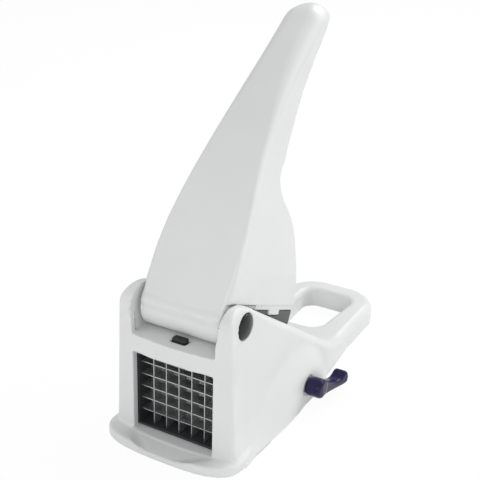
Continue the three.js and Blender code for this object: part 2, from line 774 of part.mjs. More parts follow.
function leverHalf(s) {
  const tip = clamp01((s - leverLength + tipTurnLength) / tipTurnLength);
  const narrowing = 1 + (Math.max(s, 0) / leverWaist) ** leverWaistPower;
  const half = leverGripHalf + (leverRootHalf - leverGripHalf) / narrowing;
  return half * Math.sqrt(Math.max(1 - tip * tip, tipFlatShare));
}

// One section across the lever: rounded shoulders, a crowned face and drafted sides
function leverSection(s, inset, depth) {
  const half = leverHalf(s) - inset;
  const top = faceHeight(s) - inset;
  const growth = smooth01((s - gripStart / 2) / gripStart);
  const wanted = faceEdgeRadius + (gripEdgeRadius - faceEdgeRadius) * growth;
  const radius = Math.max(Math.min(wanted, half * shoulderShare) - inset / 2, fitGap);
  const spread = (top + depth) * leverDraftShare;
  const points = [[half + spread, -depth]];
  for (let i = 0; i <= shoulderSteps; i += 1) {
    const angle = quarterTurn * i / shoulderSteps;
    points.push([half - radius * (1 - Math.cos(angle)), top - radius * (1 - Math.sin(angle))]);
  }
  points.push([(half - radius) / 2, top + leverCrown * crownShare]);
  const mirrored = points.slice().reverse().map(([x, z]) => [-x, z]);
  return [...points, [0, top + leverCrown], ...mirrored];
}

function leverSkin(end, inset, depth) {
  const stations = [];
  for (let s = leverStart; s < end - tipTurnLength * tipShares[0]; s += leverStation) stations.push(s);
  for (const share of tipShares) stations.push(end - tipTurnLength * share);
  return loft(stations.map((s) => leverSection(s, inset, depth).map(([x, z]) => [x, s, z])));
}

// A point at a distance along a tilted plate and off it, seen from the side about the hinge
function tilted(turn, along, offset) {
  return [offset * Math.cos(turn) - along * Math.sin(turn),
    -offset * Math.sin(turn) - along * Math.cos(turn)];
}

const plateTurn = (leverRestAngle - leverClosingAngle - plateTilt) * degree;

function onPlate(along, offset) {
  return tilted(plateTurn, along, offset);
}

// Side outline of the lever: along the plate, round the cheek's heel and its back, along the
// hollow underside of the grip and round its hooked tip
function leverSideOutline() {
  const heel = onPlate(plateEnd, plateOffset);
  const back = cheekBackShares.map(([along, down]) => [gripStart * along, -plateEnd * down]);
  const grip = gripLowShares.map(([along, down]) => [leverLength * along, -gripDepth * down]);
  return [[leverStart, 0], onPlate(0, plateOffset), heel, ...back, ...grip,
    [leverLength + fitGap, overrun], [leverStart, overrun]];
}

// Flat strip between the cheeks that the pusher hangs on, with a snap tab at each side
function plateStrip() {
  const half = pusherHalfWidth - fitGap;
  const low = plateOffset - plateThickness;
  const quad = (along0, along1, offset0, offset1) => [onPlate(along0, offset0), onPlate(along0, offset1),
    onPlate(along1, offset1), onPlate(along1, offset0)];
  const strip = prismX(quad(0, plateEnd, low, plateOffset + plateLap), -half, half);
  const start = snapTabCentre - snapTabWidth / 2;
  const tab = quad(start, start + snapTabWidth, low - snapTabDrop, low + plateLap);
  return joined(strip, prismX(tab, half - snapTabDepth, half), prismX(tab, -half, snapTabDepth - half));
}

// Cross ribs under the grip, as high as the space inside it
function gripRib(s) {
  return box(-overrun, overrun, s, s + gripRibThickness, -gripDepth * gripRibShare, overrun);
}

function leverShell() {
  const sides = box(-leverSideMax, leverSideMax, -overrun, overrun, -overrun, overrun);
  const outer = leverSkin(leverLength, 0, leverDepth)
    .intersect(prismX(leverSideOutline(), -overrun, overrun)).intersect(sides);
  const barrel = rodX(barrelRadius, -leverSideMax, leverSideMax, 0, 0, roundSteps * 2);
  const belowStrip = prismX([onPlate(-overrun, plateOffset), onPlate(-overrun, -overrun),
    onPlate(overrun, -overrun), onPlate(overrun, plateOffset)], -overrun, overrun);
  const channel = cutBy(
    leverSkin(leverLength - leverWall, leverWall, leverDepth + leverWall)
      .intersect(box(leverWall - leverSideMax, leverSideMax - leverWall, -overrun, overrun, -overrun,
        overrun)),
    rodX(barrelRadius + fitGap, -overrun, overrun, 0, 0, roundSteps * 2),
    belowStrip,
  );
  const ribs = [];
  for (let i = 0; i < gripRibCount; i += 1) ribs.push(gripRib(gripStart + gripRibGap * (i + 1)));
  const shell = joined(cutBy(outer, channel), barrel, plateStrip(), joined(...ribs).intersect(outer));
  return cutBy(shell, rodX(axleRadius + axlePlay, -overrun, overrun, 0, 0));
}

// Pusher, drawn in the closed position about the hinge: its front face stands parallel to the
// grid, its back lies against the lever's plate, and one peg faces every cell
const facePlane = pusherFaceY - pivotY;
const pusherBottom = pivotZ - gridBottom + bladeThickness;

function onBack(along, offset) {
  return tilted(-plateTilt * degree, along, pusherBackOffset + offset);
}

function pusherBody() {
  const outline = [[facePlane, -pusherTop], [facePlane, bottomChamfer - pusherBottom],
    [facePlane + bottomChamfer, -pusherBottom], onBack(pusherBottom, 0), onBack(pusherTop, 0)];
  const core = [[facePlane + pusherPlate, -pusherTop - pusherPlate],
    [facePlane + pusherPlate, pusherPlate - pusherBottom],
    onBack(pusherBottom - pusherPlate, overrun), onBack(pusherTop + pusherPlate, overrun)];
  const hollow = prismX(core, pusherPlate - pusherHalfWidth, pusherHalfWidth - pusherPlate);
  const stiffeners = [-1, 0, 1].map((k) => prismX(outline, (k * cellWidth * 2) - pusherRib / 2,
    (k * cellWidth * 2) + pusherRib / 2));
  return joined(cutBy(prismX(outline, -pusherHalfWidth, pusherHalfWidth), hollow), ...stiffeners);
}

function snapNotch(side) {
  const from = snapTabCentre - snapTabWidth / 2 - fitGap;
  const to = from + snapTabWidth + fitGap * 2;
  const outline = [onBack(from, -snapTabDrop - fitGap), onBack(to, -snapTabDrop - fitGap),
    onBack(to, overrun), onBack(from, overrun)];
  const inner = pusherHalfWidth - snapTabDepth - fitGap * 2;
  const cut = prismX(outline, inner, pusherHalfWidth + fitGap);
  return side > 0 ? cut : cut.mirror([1, 0, 0]);
}

function peg(column, row) {
  const x = -gridHalfWidth + cellWidth * (column + 1 / 2);
  const z = gridBottom + cellHeight * (row + 1 / 2) - pivotZ;
  const square = (half, y) => [[x - half, y, z - half], [x + half, y, z - half],
    [x + half, y, z + half], [x - half, y, z + half]];
  const tipY = bladeDepth - pegReach - pivotY;
  return loft([square(pegTipSide / 2, tipY), square(pegSide / 2, facePlane + fitGap)]);
}

function pusherBlock() {
  const pegs = [];
  for (let column = 0; column < cellsAcross; column += 1) {
    for (let row = 0; row < cellsUp; row += 1) pegs.push(peg(column, row));
  }
  return joined(cutBy(pusherBody(), snapNotch(1), snapNotch(-1)), ...pegs);
}

// Suction cup: a soft disc, hollow below, with a boss for the stem's foot
function suctionCup() {
  const profile = [
    [0, cupHollow], [cupCrownRadius, cupHollow], [cupRadius - cupCrown, cupLipHeight * 2],
    [cupRadius - cupEdge, cupLipHeight], [cupRadius, cupLipHeight + cupEdge],
    [cupRadius - cupCrown * 2, cupSkirtHeight], [cupCrownRadius, cupCrown],
    [cupBossRadius, cupCrown], [cupBossRadius, cupBossHeight], [0, cupBossHeight],
  ].map(([r, z]) => new THREE.Vector2(r, z));
  const turned = new THREE.LatheGeometry(profile, roundSteps * 2).rotateX(quarterTurn);
  return solidOf(turned).translate([0, cupY, 0]);
}

// Stem: a round foot on the cup and an upright bar with an eye that the crank pin lifts
function suctionStem() {
  const low = cupBossHeight + fitGap;
  const foot = solidOf(new THREE.CylinderGeometry(stemFootRadius, stemFootRadius, stemFootThickness,
    roundSteps).rotateX(quarterTurn)).translate([0, eyeY, low + stemFootThickness / 2]);
  const bar = box(-stemHalfWidth, stemHalfWidth, eyeY - eyeHalfY - stemWall, eyeY + eyeHalfY + stemWall,
    low, eyeZ + eyeHalfZ + stemWall);
  const travel = eyeHalfY - eyeHalfZ;
  const eye = [...arc(eyeY + travel, eyeZ, eyeHalfZ, -quarterTurn, quarterTurn, eyeSteps),
    ...arc(eyeY - travel, eyeZ, eyeHalfZ, quarterTurn, quarterTurn * 3, eyeSteps)];
  return cutBy(joined(foot, bar), prismX(eye, -overrun, overrun));
}

// Crank shaft: a journal with a square drive outside and an off-centre pin inside, so that the
// stem rises as the shaft turns
function crankShaft() {
  const inner = stemHalfWidth + wellPlay;
  const journal = rodX(shaftRadius, inner, hubInnerX, cupY, shaftHeight);
  const half = driveSide / 2;
  const drive = box(hubInnerX - fitGap, hubInnerX + driveLength, cupY - half, cupY + half,
    shaftHeight - half, shaftHeight + half);
  const pin = rodX(crankPinRadius, inner - crankPinLength, inner + fitGap, cupY + crankLow, eyeZ);
  const groove = cutBy(
    rodX(shaftRadius + fitGap, shaftBossInnerX - clipThickness - fitGap * 2, shaftBossInnerX - fitGap,
      cupY, shaftHeight),
    rodX(shaftRadius - clipGrooveDepth, 0, overrun, cupY, shaftHeight),
  );
  return cutBy(joined(journal, drive, pin), groove);
}

// Clip: an open spring ring that snaps into the shaft's groove behind the boss
function shaftClip() {
  const x1 = shaftBossInnerX - fitGap * 3 / 2;
  const bore = shaftRadius - clipGrooveDepth + fitGap / 2;
  const mouth = bore * clipMouthShare;
  return cutBy(
    rodX(clipRadius, x1 - clipThickness + fitGap, x1, cupY, shaftHeight),
    rodX(bore, 0, overrun, cupY, shaftHeight),
    box(0, overrun, cupY - mouth, cupY + mouth, shaftHeight - overrun, shaftHeight),
  );
}

// Suction lever: a hub on the shaft's drive and an arm that leans outward, with a saddle in its
// upper edge and a raised end for the thumb
function suctionLever() {
  const hub = rodX(hubRadius, hubInnerX + fitGap, hubOuterX, cupY, shaftHeight);
  const rings = armShares.map(([along, top, low]) => {
    const outside = hubOuterX + armFlare * along * along;
    return roundedBoxOutline(outside - armThickness, outside, shaftHeight + hubRadius * low,
      shaftHeight + hubRadius * top, armRound).map(([x, z]) => [x, cupY + armLength * along, z]);
  });
  const arm = loft(rings.reverse());
  const socket = box(hubInnerX - fitGap, hubInnerX + driveLength + fitGap,
    cupY - driveSide / 2 - fitGap, cupY + driveSide / 2 + fitGap,
    shaftHeight - driveSide / 2 - fitGap, shaftHeight + driveSide / 2 + fitGap);
  return cutBy(joined(hub, arm), socket);
}

// Assembly
node('base_housing', baseHousing(), whitePlastic);
node('blade_frame', bladeFrame(), charcoalPlastic);
for (let i = 1; i < cellsAcross; i += 1) node(`upright_blade_${i}`, uprightBlade(i), steel);
for (let i = 1; i < cellsUp; i += 1) node(`level_blade_${i}`, levelBlade(i), steel);
node('catch_tongue', catchTongue(), charcoalPlastic);
const axleHalf = halfWidth(pivotY, pivotZ) - capSeatDepth;
node('hinge_axle', rodX(axleRadius, -axleHalf + axleEndGap, axleHalf - axleEndGap, pivotY, pivotZ), steel);
node('pivot_cap_left', pivotCap(-1), capPlastic);
node('pivot_cap_right', pivotCap(1), capPlastic);

const lever = new THREE.Group();
lever.position.set(0, pivotY, pivotZ);
lever.rotation.x = leverRestAngle * degree;
cutter.add(lever);
node('lever_shell', leverShell(), whitePlastic, lever);

const ram = new THREE.Group();
ram.position.set(0, pivotY, pivotZ);
ram.rotation.x = leverClosingAngle * degree;
cutter.add(ram);
node('pusher_block', pusherBlock(), greyPlastic, ram);

node('suction_cup', suctionCup(), blackRubber);
node('suction_stem', suctionStem(), whitePlastic);
node('crank_shaft', crankShaft(), greyPlastic);
node('shaft_clip', shaftClip(), steel);
node('suction_lever', suctionLever(), purplePlastic);

export default cutter;
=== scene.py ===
"""Looks of a hand-operated french fry cutter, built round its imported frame."""

import math

import bpy
import numpy as np
from bpy.props import FloatProperty, FloatVectorProperty, PointerProperty
from mathutils import Matrix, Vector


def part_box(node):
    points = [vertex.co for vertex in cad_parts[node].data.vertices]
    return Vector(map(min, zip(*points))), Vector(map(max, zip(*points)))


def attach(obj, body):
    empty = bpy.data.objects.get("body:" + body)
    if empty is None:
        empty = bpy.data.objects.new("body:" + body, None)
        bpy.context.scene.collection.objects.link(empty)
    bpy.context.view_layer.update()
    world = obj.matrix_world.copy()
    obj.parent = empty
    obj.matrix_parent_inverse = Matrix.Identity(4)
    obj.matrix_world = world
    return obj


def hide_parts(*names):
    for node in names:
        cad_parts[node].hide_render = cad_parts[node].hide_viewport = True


bl_info = {
    "name": "French Fry Cutter",
    "version": (1, 0, 0),
    "blender": (4, 5, 0),
    "location": "View3D > Sidebar > Fry Cutter",
    "description": "Builds the moulded skins, fittings and stage of a french fry cutter",
    "category": "Add Mesh",
}

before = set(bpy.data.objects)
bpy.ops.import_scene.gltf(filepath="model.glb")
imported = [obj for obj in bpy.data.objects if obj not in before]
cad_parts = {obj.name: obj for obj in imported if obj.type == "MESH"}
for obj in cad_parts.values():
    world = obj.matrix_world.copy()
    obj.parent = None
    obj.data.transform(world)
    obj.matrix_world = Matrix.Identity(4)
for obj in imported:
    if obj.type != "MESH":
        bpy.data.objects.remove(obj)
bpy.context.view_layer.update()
MM = 0.001
TINY = 1e-9
WHITE = (1.0, 1.0, 1.0, 1.0)

# How a net settles on its surface: reaches and moves in steps of the net
SLOPE_REACH = 0.02
NORMAL_REACH = 0.35
MOST_MOVE = 0.5
SETTLE_ROUNDS = 4
LEAST_STEEP = 0.2

# Reach over which a form's slope is measured, in millimetres, and the steepest slopes that count
SLOPE_STEP = 0.5
TOP_STEEPEST = 3.0
LEVER_STEEPEST = 4.0
ARM_STEEPEST = 2.0

# Rounds of edges that many pieces share, in millimetres
CRISP = 0.3
FINE = 0.4
CLOSE = 0.5
SOFT = 0.6
MILD = 0.8
INNER_ROUND = 1.5

# Camera of the photograph: its place in metres, its lens in millimetres
CAMERA_PLACE = (0.35041, -0.52870, 0.44201)
CAMERA_AZIMUTH = math.radians(29.746)
CAMERA_ELEVATION = math.radians(23.307)
CAMERA_ROLL = math.radians(1.589)
CAMERA_LENS = 75.0
CAMERA_SENSOR = 36.0

# Soft lights: size, place and target, in metres
LIGHTS = {
    "key": (1.4, (1.3, 1.4, 1.4), (0.0, 0.1, 0.1)),
    "top": (0.8, (0.1, 1.5, 1.3), (0.0, 0.1, 0.0)),
    "fill": (1.6, (-1.2, -1.2, 1.0), (0.0, 0.1, 0.1)),
    "front": (0.5, (0.774, -1.335, 0.718), (0.0, 0.02, 0.045)),
}

# The floor: half its side in metres, its colour, and how far it glows where it is seen
FLOOR_REACH = 6.0
FLOOR_TONE = 0.93
FLOOR_GLOW = 0.94

# Scales of the patterns in the finishes, and the levels that most of a noise lies between
CLOUD_SCALE = 22.0
SPECK_SCALE = 420.0
GRAIN_SCALE = 1500.0
RUBBER_CLOUD_SCALE = 60.0
RUBBER_GRAIN_SCALE = 900.0
STEEL_CLOUD_SCALE = 40.0
STEEL_LINE_SCALE = 260.0
NOISE_LOW = 0.35
NOISE_HIGH = 0.68

# Sizes of the blade grid, in millimetres
CELL_X = 11.2
CELL_Z = 10.3
CELLS = 6
GRID_LOW = 10.4

# Sizes of the body, in millimetres
WALL = 2.8
FRONT_Y = -9.5
FRONT_BOW = 2.2
FRONT_WALL = 6.0
CORNER = 3.0
EAR_FLARE = 3.4
EAR_FLARE_Y = -7.1
EAR_FLARE_LENGTH = 17.5
SKIRT_GROW = 9.7
BODY_HALF = 49.7
DRAFT = 4.6 / 113.0
LEDGE_Z = 88.9
LEDGE_THICK = 3.0
LEDGE_BACK = 11.4
BOTTOM_EDGE = 1.6
RIM_START = 1.0
RIM_GROW = 8.0
RECESS_HALF = 35.4
RECESS_START = 6.0
RECESS_GROW = 16.0
WINDOW_HALF = 34.6
WINDOW_LOW = 8.0
WINDOW_HIGH = 74.3
WINDOW_BACK = -3.0
EAR_FRONT_Z = 100.0
EAR_TOP_Z = 122.8
EAR_TOP_Y = 7.0
EAR_EDGE = 3.2
EAR_EDGE_Y = 24.0
EAR_EDGE_GROW = 31.0
RIM_EDGE = 6.0
LOOP_EDGE = 7.0
LOOP_EDGE_GROW = 70.0
RIM_Y = 54.5
RIM_Z = 97.6
RIM_SLOPE = 0.66
LOOP_Z = 19.0
LOOP_BLEND = 60.0
LOOP_REAR = 284.4
LOOP_TAPER_Y = 110.0
LOOP_HALF = 43.0
LOOP_CORNER = 30.0
HOLE_FRONT = 192.0
HOLE_REAR = 263.0
HOLE_HALF_FRONT = 20.0
HOLE_HALF_REAR = 24.5
HOLE_CORNER = 13.0
HOLE_LIP = 5.5
HOLE_LIP_RISE = 10.0
HOLLOW_FRONT = 4.0
EAR_ROOT_Z = 84.0
EAR_ROOT_Y = 50.0
EAR_ROOT_EDGE = 1.0

# Sizes of the foot
FLANGE_HALF = 57.5
FLANGE_FRONT = -27.0
FLANGE_Z = 8.0
FLANGE_POWER = 3.0
FLANGE_ROUND = 2.0
FLANGE_BACK = 40.0
FLANGE_FADE = 0.13
FLANGE_FILLET = 3.0
RAMP_TOP_HALF = 45.0
RAMP_LIP_HALF = 24.0
RAMP_LIP_Z = 4.8
RAMP_LEAN = 1.8
RAMP_ROUND = 4.5
RAMP_BACK = -9.0
SKIRT_FRONT = 8.0
SKIRT_MOST = 9.5
SKIRT_MOST_Y = 76.0
SKIRT_END_Y = 200.0
SKIRT_Z = 30.0
FENDER_Y = 95.0
FENDER_FRONT = 54.0
FENDER_REAR = 42.0
FENDER_Z = 39.0
FENDER_HALF = 57.1
FENDER_BAND = 0.36

# Sizes of the chamber and the hinge
PIVOT_Y = 17.0
PIVOT_Z = 106.0
CHAMBER_HALF = 37.0
CHAMBER_FLOOR_ROUND = 4.0
CHAMBER_SIDE_ROUND = 3.0
RECESS_OPEN = CHAMBER_HALF + 0.5
TROUGH = 110.0
AXLE_BORE = 4.3
CAP_RADIUS = 9.6
CAP_SEAT = 9.95
CAP_INNER = 42.0
CAP_OUTER = 45.98
CAP_DOME = 2.4
CAP_LIFT = 0.3
CAP_STEPS = 96
DOME_STEPS = 14

# Sizes of the lever
LEVER_REST = math.radians(49.5)
LEVER_CLOSING = math.radians(62.5)
PLATE_TILT = math.radians(4.3)
PLATE_TURN = LEVER_REST - LEVER_CLOSING - PLATE_TILT
BARREL = 17.6
LEVER_ROOT_HALF = 36.0
LEVER_GRIP_HALF = 14.4
LEVER_WAIST = 115.0
LEVER_WAIST_POWER = 2.8
LEVER_DRAFT = 0.037
LEVER_SIDE = 36.4
BARREL_SHORT = 2.4
STEP_LENGTH = 29.0
LEVER_LENGTH = 266.0
LEVER_START = -6.0
LEVER_CROWN = 1.6
CROWN_HALF = 30.0
TIP_TURN = 20.0
TIP_DROP = 24.0
TIP_BELOW = 14.0

# Radius of the lever's shoulder, by distance along the lever
SHOULDER = ((-10.0, 6.0), (15.0, 5.0), (45.0, 2.4), (90.0, 1.9), (130.0, 3.2), (170.0, 7.0),
            (215.0, 11.5), (270.0, 12.0))
SHOULDER_MOST = 0.8

# The lever's channel, its side outline and the hollow between barrel and face
CHANNEL_EDGE = 0.7
CHANNEL_BACK_EDGE = 1.0
OUTLINE_EDGE = 0.9
OUTLINE_OVER = 40.0
OUTLINE_LONGER = 0.3
OUTLINE_STEPS = 8
BARREL_EDGE = 1.2
CREASE_REACH = 3.0
CREASE_FADE = 6.0
CREASE_ROUND = 5.6
CREASE_HALF = 29.0

# The lever's face, plate, snap tabs and ribs
GRIP_START = 125.0
FACE_Z = 27.7
FACE_Z_BARREL = 18.3
FACE_CLIMB = 101.0
FACE_FALL = 20.0
FACE_FALL_LENGTH = 155.0
FACE_FALL_POWER = 1.75
PLATE_OFF = 13.0
PLATE_THICK = 3.7
PLATE_END = 94.6
PLATE_SHORT = 0.9
PLATE_ROOT = 1.0
SNAP_GAP = 0.3
TAB_MIDDLE = 63.0
TAB_WIDTH = 18.0
TAB_DROP = 4.0
TAB_DEPTH = 2.6
RIBS = 3
RIB_THICK = 2.0
RIB_GAP = 30.0
RIB_LOW = -3.8
RIB_OVERLAP = 1.2

# Side outline behind the cheek and along the grip: distance along the lever, height off its axis
CHEEK_BACK = ((40.5, -86.4), (49.5, -81.8), (59.5, -74.4), (71.2, -66.4), (85.2, -55.2),
              (94.5, -45.1), (100.5, -32.9), (104.6, -19.9), (112.1, -9.3), (120.0, -5.6),
              (131.4, -6.8), (164.9, -5.0), (194.2, -4.4), (222.9, -6.8), (239.9, -8.2),
              (250.0, -9.0), (256.3, -11.6), (260.4, -14.4), (264.0, -14.6), (265.7, -11.0),
              (266.3, 0.0))

# Room for the lever's net and for the table of distances to its outline
LEVER_LOW = -97.0
LEVER_HIGH = 30.0
TABLE_LOW = (-25.0, -110.0)
TABLE_HIGH = (285.0, 45.0)
TABLE_STEP = 0.6
TABLE_PARTS = 40

# Sizes of the pusher
PUSHER_HALF = 34.6
PUSHER_FACE = -0.4
PUSHER_TOP = 23.0
PUSHER_LOW = 96.3
PUSHER_BACK = 9.0
PUSHER_PLATE = 4.0
PUSHER_DEEP = 17.0
PUSHER_RIB_HALF = 1.0
PEG_SIDE = 8.2
PEG_TIP_SIDE = 7.2
PEG_TIP = -9.9
PEG_ROOT = 1.0

# Sizes of the catch
BUTTON_X = 1.1
BUTTON_HALF_X = 5.9
BUTTON_HALF_Y = 3.2
BUTTON_TOP = 91.5
BUTTON_CORNER = 1.6
BUTTON_EDGE = 0.9
SLOT_GAP = 0.6
SLOT_BELOW = 2.0
TONGUE_LOW = 82.7
TONGUE_HIGH = 84.7
TONGUE_ROOT = -24.2
TONGUE_HALF = 3.0

# Sizes of the suction parts
CUP_Y = 102.0
CUP_RADIUS = 44.0
CUP_PROFILE = ((0.0, 1.5), (20.0, 1.5), (39.4, 0.6), (43.0, 0.3), (CUP_RADIUS, 1.3), (34.8, 1.8),
               (20.0, 4.6), (14.0, 4.6), (14.0, 5.2), (0.0, 5.2))
CUP_ROUNDS = (4.0, 3.0, 0.4, 0.4, 3.0, 3.0, 0.4, 0.3)
CUP_STEPS = 128
SHAFT_Z = 18.0
SHAFT_BORE = 5.3
HUB_SEAT = 8.0
HUB_RADIUS = 7.6
HUB_IN = 56.5
HUB_OUT = 70.4
HUB_EDGE = 3.2
HUB_GAP = 0.3
BOSS_RADIUS = HUB_RADIUS - 0.4
BOSS_IN = 46.0
BOSS_OUT = 55.0
ARM_LENGTH = 42.0
ARM_THICK = 11.5
ARM_FLARE = 4.0
ARM_END_ROUND = 3.4
ARM_EDGE = 2.4
ARM_FILLET = 2.0
ARM_NET_LOW = 5.0
ARM_NET_HIGH = 27.0
ARM_NET_OUT = 75.0

# Upper and lower line of the arm: share of its length, height over the hub's middle in hub radii
ARM_TOP = ((0.0, 0.98), (0.1, 0.88), (0.19, 0.6), (0.285, 0.25), (0.4, -0.15), (0.52, -0.46),
           (0.64, -0.66), (0.75, -0.62), (0.81, -0.43), (0.86, -0.24), (0.91, -0.17), (0.955, -0.27),
           (1.0, -0.6))
ARM_LOW = ((0.0, -0.98), (0.1, -1.03), (0.19, -1.1), (0.285, -1.18), (0.4, -1.3), (0.52, -1.41),
           (0.64, -1.52), (0.75, -1.61), (0.86, -1.67), (0.91, -1.67), (0.955, -1.6), (1.0, -1.3))
ARM_SLOPE_STEP = 0.01

# Sizes of the well that guides the stem
EYE_Y = 103.79
WELL_HALF_X = 4.4
WELL_HALF_Y = 6.0
WELL_WALL = 2.4
WELL_LOW = 11.0
WELL_HIGH = 40.0


# Fields: a shape is where a signed size over space is below zero

def meet(a, b, radius):
    """Inside both: the larger of the two, with a quarter round of that radius where they cross."""
    round_part = np.hypot(np.maximum(radius + a, 0.0), np.maximum(radius + b, 0.0))
    return np.minimum(-radius, np.maximum(a, b)) + round_part


def fuse(a, b, radius):
    """Inside either, with a hollow round of that radius along the joint."""
    round_part = np.hypot(np.maximum(radius - a, 0.0), np.maximum(radius - b, 0.0))
    return np.maximum(radius, np.minimum(a, b)) - round_part


def carve(a, b, radius):
    """Inside a and outside b, with rounded rims."""
    return meet(a, -b, radius)


def ramp(value):
    """Zero to one with flat ends: three squares less two cubes of the clipped value."""
    t = np.clip(value, 0.0, 1.0)
    return t * t * (3.0 - 2.0 * t)


def curve(knots, t):
    """A smooth line through knots: cubic pieces with the neighbours' mean slope at each knot."""
    xs, ys = np.asarray(knots, float).T
    slopes = np.gradient(ys, xs)
    t = np.clip(t, xs[0], xs[-1])
    i = np.clip(np.searchsorted(xs, t) - 1, 0, len(xs) - 2)
    gap = xs[i + 1] - xs[i]
    u = (t - xs[i]) / gap
    start = (1.0 + 2.0 * u) * (1.0 - u) ** 2 * ys[i] + u * (1.0 - u) ** 2 * gap * slopes[i]
    end = u ** 2 * (3.0 - 2.0 * u) * ys[i + 1] + u ** 2 * (u - 1.0) * gap * slopes[i + 1]
    return start + end


def block(p, low, high, radius):
    """Distance to a box with rounded edges: the overshoot past its shrunken half sizes."""
    low = np.asarray(low, float)
    high = np.asarray(high, float)
    q = np.abs(p - (low + high) / 2.0) - (high - low) / 2.0 + radius
    outside = np.sqrt((np.maximum(q, 0.0) ** 2).sum(-1))
    return outside + np.minimum(q.max(-1), 0.0) - radius


def rod(across, along, radius, low, high, edge):
    """A round bar: distance from its axis less the radius, met with its two end planes."""
    ends = np.maximum(low - along, along - high)
    return meet(across - radius, ends, edge)


def slope_of(field, points, reach):
    """Slope of a field along each axis: the difference over a short reach both ways."""
    slope = np.empty_like(points)
    for k in range(3):
        shift = np.zeros(3)
        shift[k] = reach
        slope[:, k] = (field(points + shift) - field(points - shift)) / (2.0 * reach)
    return slope


def length_of(vectors):
    """Length of each vector, never quite nothing."""
    return np.maximum(np.sqrt((vectors ** 2).sum(-1)), TINY)[:, None]


def skin(field, low, high, step):
    """The surface where a field is zero, as a net: one vertex in each cell that the surface passes,
    at the mean of its edge crossings, one quad for each grid edge that it crosses, and then each
    vertex moved along the field's slope until the field there is zero. Gives the vertices, the
    quads and the outward direction at each vertex."""
    axes = [np.arange(low[k] - 2.0 * step, high[k] + 2.5 * step, step) for k in range(3)]
    grid = np.stack(np.meshgrid(*axes, indexing="ij"), -1)
    size = grid.shape[:3]
    value = field(grid.reshape(-1, 3)).reshape(size)
    inside = value < 0.0
    cells = tuple(n - 1 for n in size)
    total = np.zeros(cells + (3,))
    count = np.zeros(cells)
    quads = []
    edges = []
    for k in range(3):
        near = [slice(None)] * 3
        far = [slice(None)] * 3
        near[k] = slice(0, -1)
        far[k] = slice(1, None)
        near, far = tuple(near), tuple(far)
        crossing = inside[near] != inside[far]
        gap = np.where(crossing, value[near] - value[far], 1.0)
        share = np.where(crossing, value[near] / gap, 0.0)
        point = grid[near].copy()
        point[..., k] += share * step
        point *= crossing[..., None]
        u, v = (k + 1) % 3, (k + 2) % 3
        for du in (0, 1):
            for dv in (0, 1):
                cell = [slice(None)] * 3
                edge = [slice(None)] * 3
                cell[u] = slice(0, cells[u])
                edge[u] = slice(1 - du, 1 - du + cells[u])
                cell[v] = slice(0, cells[v])
                edge[v] = slice(1 - dv, 1 - dv + cells[v])
                total[tuple(cell)] += point[tuple(edge)]
                count[tuple(cell)] += crossing[tuple(edge)]
        edges.append((k, u, v, crossing, inside[near]))
    used = count > 0
    number = np.full(cells, -1, np.int64)
    number[used] = np.arange(int(used.sum()))
    vertices = total[used] / count[used][:, None]
    for k, u, v, crossing, from_inside in edges:
        where = np.argwhere(crossing)
        keep = (where[:, u] > 0) & (where[:, v] > 0)
        keep &= (where[:, u] < size[u] - 1) & (where[:, v] < size[v] - 1)
        where = where[keep]
        step_u = np.zeros(3, np.int64)
        step_v = np.zeros(3, np.int64)
        step_u[u] = 1
        step_v[v] = 1
        around = [where - step_u - step_v, where - step_v, where, where - step_u]
        quad = np.stack([number[tuple(c.T)] for c in around], -1)
        flip = ~from_inside[tuple(where.T)]
        quad[flip] = quad[flip][:, ::-1]
        quads.append(quad)
    for _ in range(SETTLE_ROUNDS):
        slope = slope_of(field, vertices, SLOPE_REACH * step)
        steep = np.maximum((slope ** 2).sum(-1), LEAST_STEEP)
        move = slope * (field(vertices) / steep)[:, None]
        vertices = vertices - move * np.minimum(1.0, MOST_MOVE * step / length_of(move))
    away = slope_of(field, vertices, NORMAL_REACH * step)
    return vertices, np.concatenate(quads), away / length_of(away)


def turned(profile, steps):
    """A profile of (radius, height) turned about its own height axis: rows of points at even
    angles, with one point at each pole."""
    profile = np.asarray(profile, float)
    angle = np.arange(steps) * (2.0 * math.pi / steps)
    body = profile[1:-1]
    ring = np.stack([body[:, :1] * np.cos(angle), body[:, :1] * np.sin(angle),
                     np.repeat(body[:, 1:], steps, 1)], -1).reshape(-1, 3)
    poles = np.array([[0.0, 0.0, profile[0, 1]], [0.0, 0.0, profile[-1, 1]]])
    vertices = np.concatenate([ring, poles])
    row = np.arange(len(body) - 1)[:, None] * steps
    here = np.arange(steps)[None, :]
    after = (here + 1) % steps
    quads = np.stack([row + here, row + after, row + steps + after, row + steps + here], -1)
    first = np.stack([np.full(steps, len(ring)), after[0], here[0]], -1)
    last_row = (len(body) - 1) * steps
    last = np.stack([np.full(steps, len(ring) + 1), last_row + here[0], last_row + after[0]], -1)
    return vertices, quads.reshape(-1, 4), np.concatenate([first, last])


def rounded_profile(points, radii, steps=5):
    """A profile whose inner corners are replaced by arcs: points on the quadratic curve between
    the two places one radius before and after each corner."""
    points = np.asarray(points, float)
    out = [points[:1]]
    t = np.linspace(0.0, 1.0, steps)[:, None]
    for before, corner, after, radius in zip(points, points[1:], points[2:], radii):
        to_before = before - corner
        to_after = after - corner
        a = corner + to_before * min(radius / np.hypot(*to_before), 0.5)
        b = corner + to_after * min(radius / np.hypot(*to_after), 0.5)
        out.append((1 - t) ** 2 * a + 2 * t * (1 - t) * corner + t * t * b)
    out.append(points[-1:])
    return np.concatenate(out)


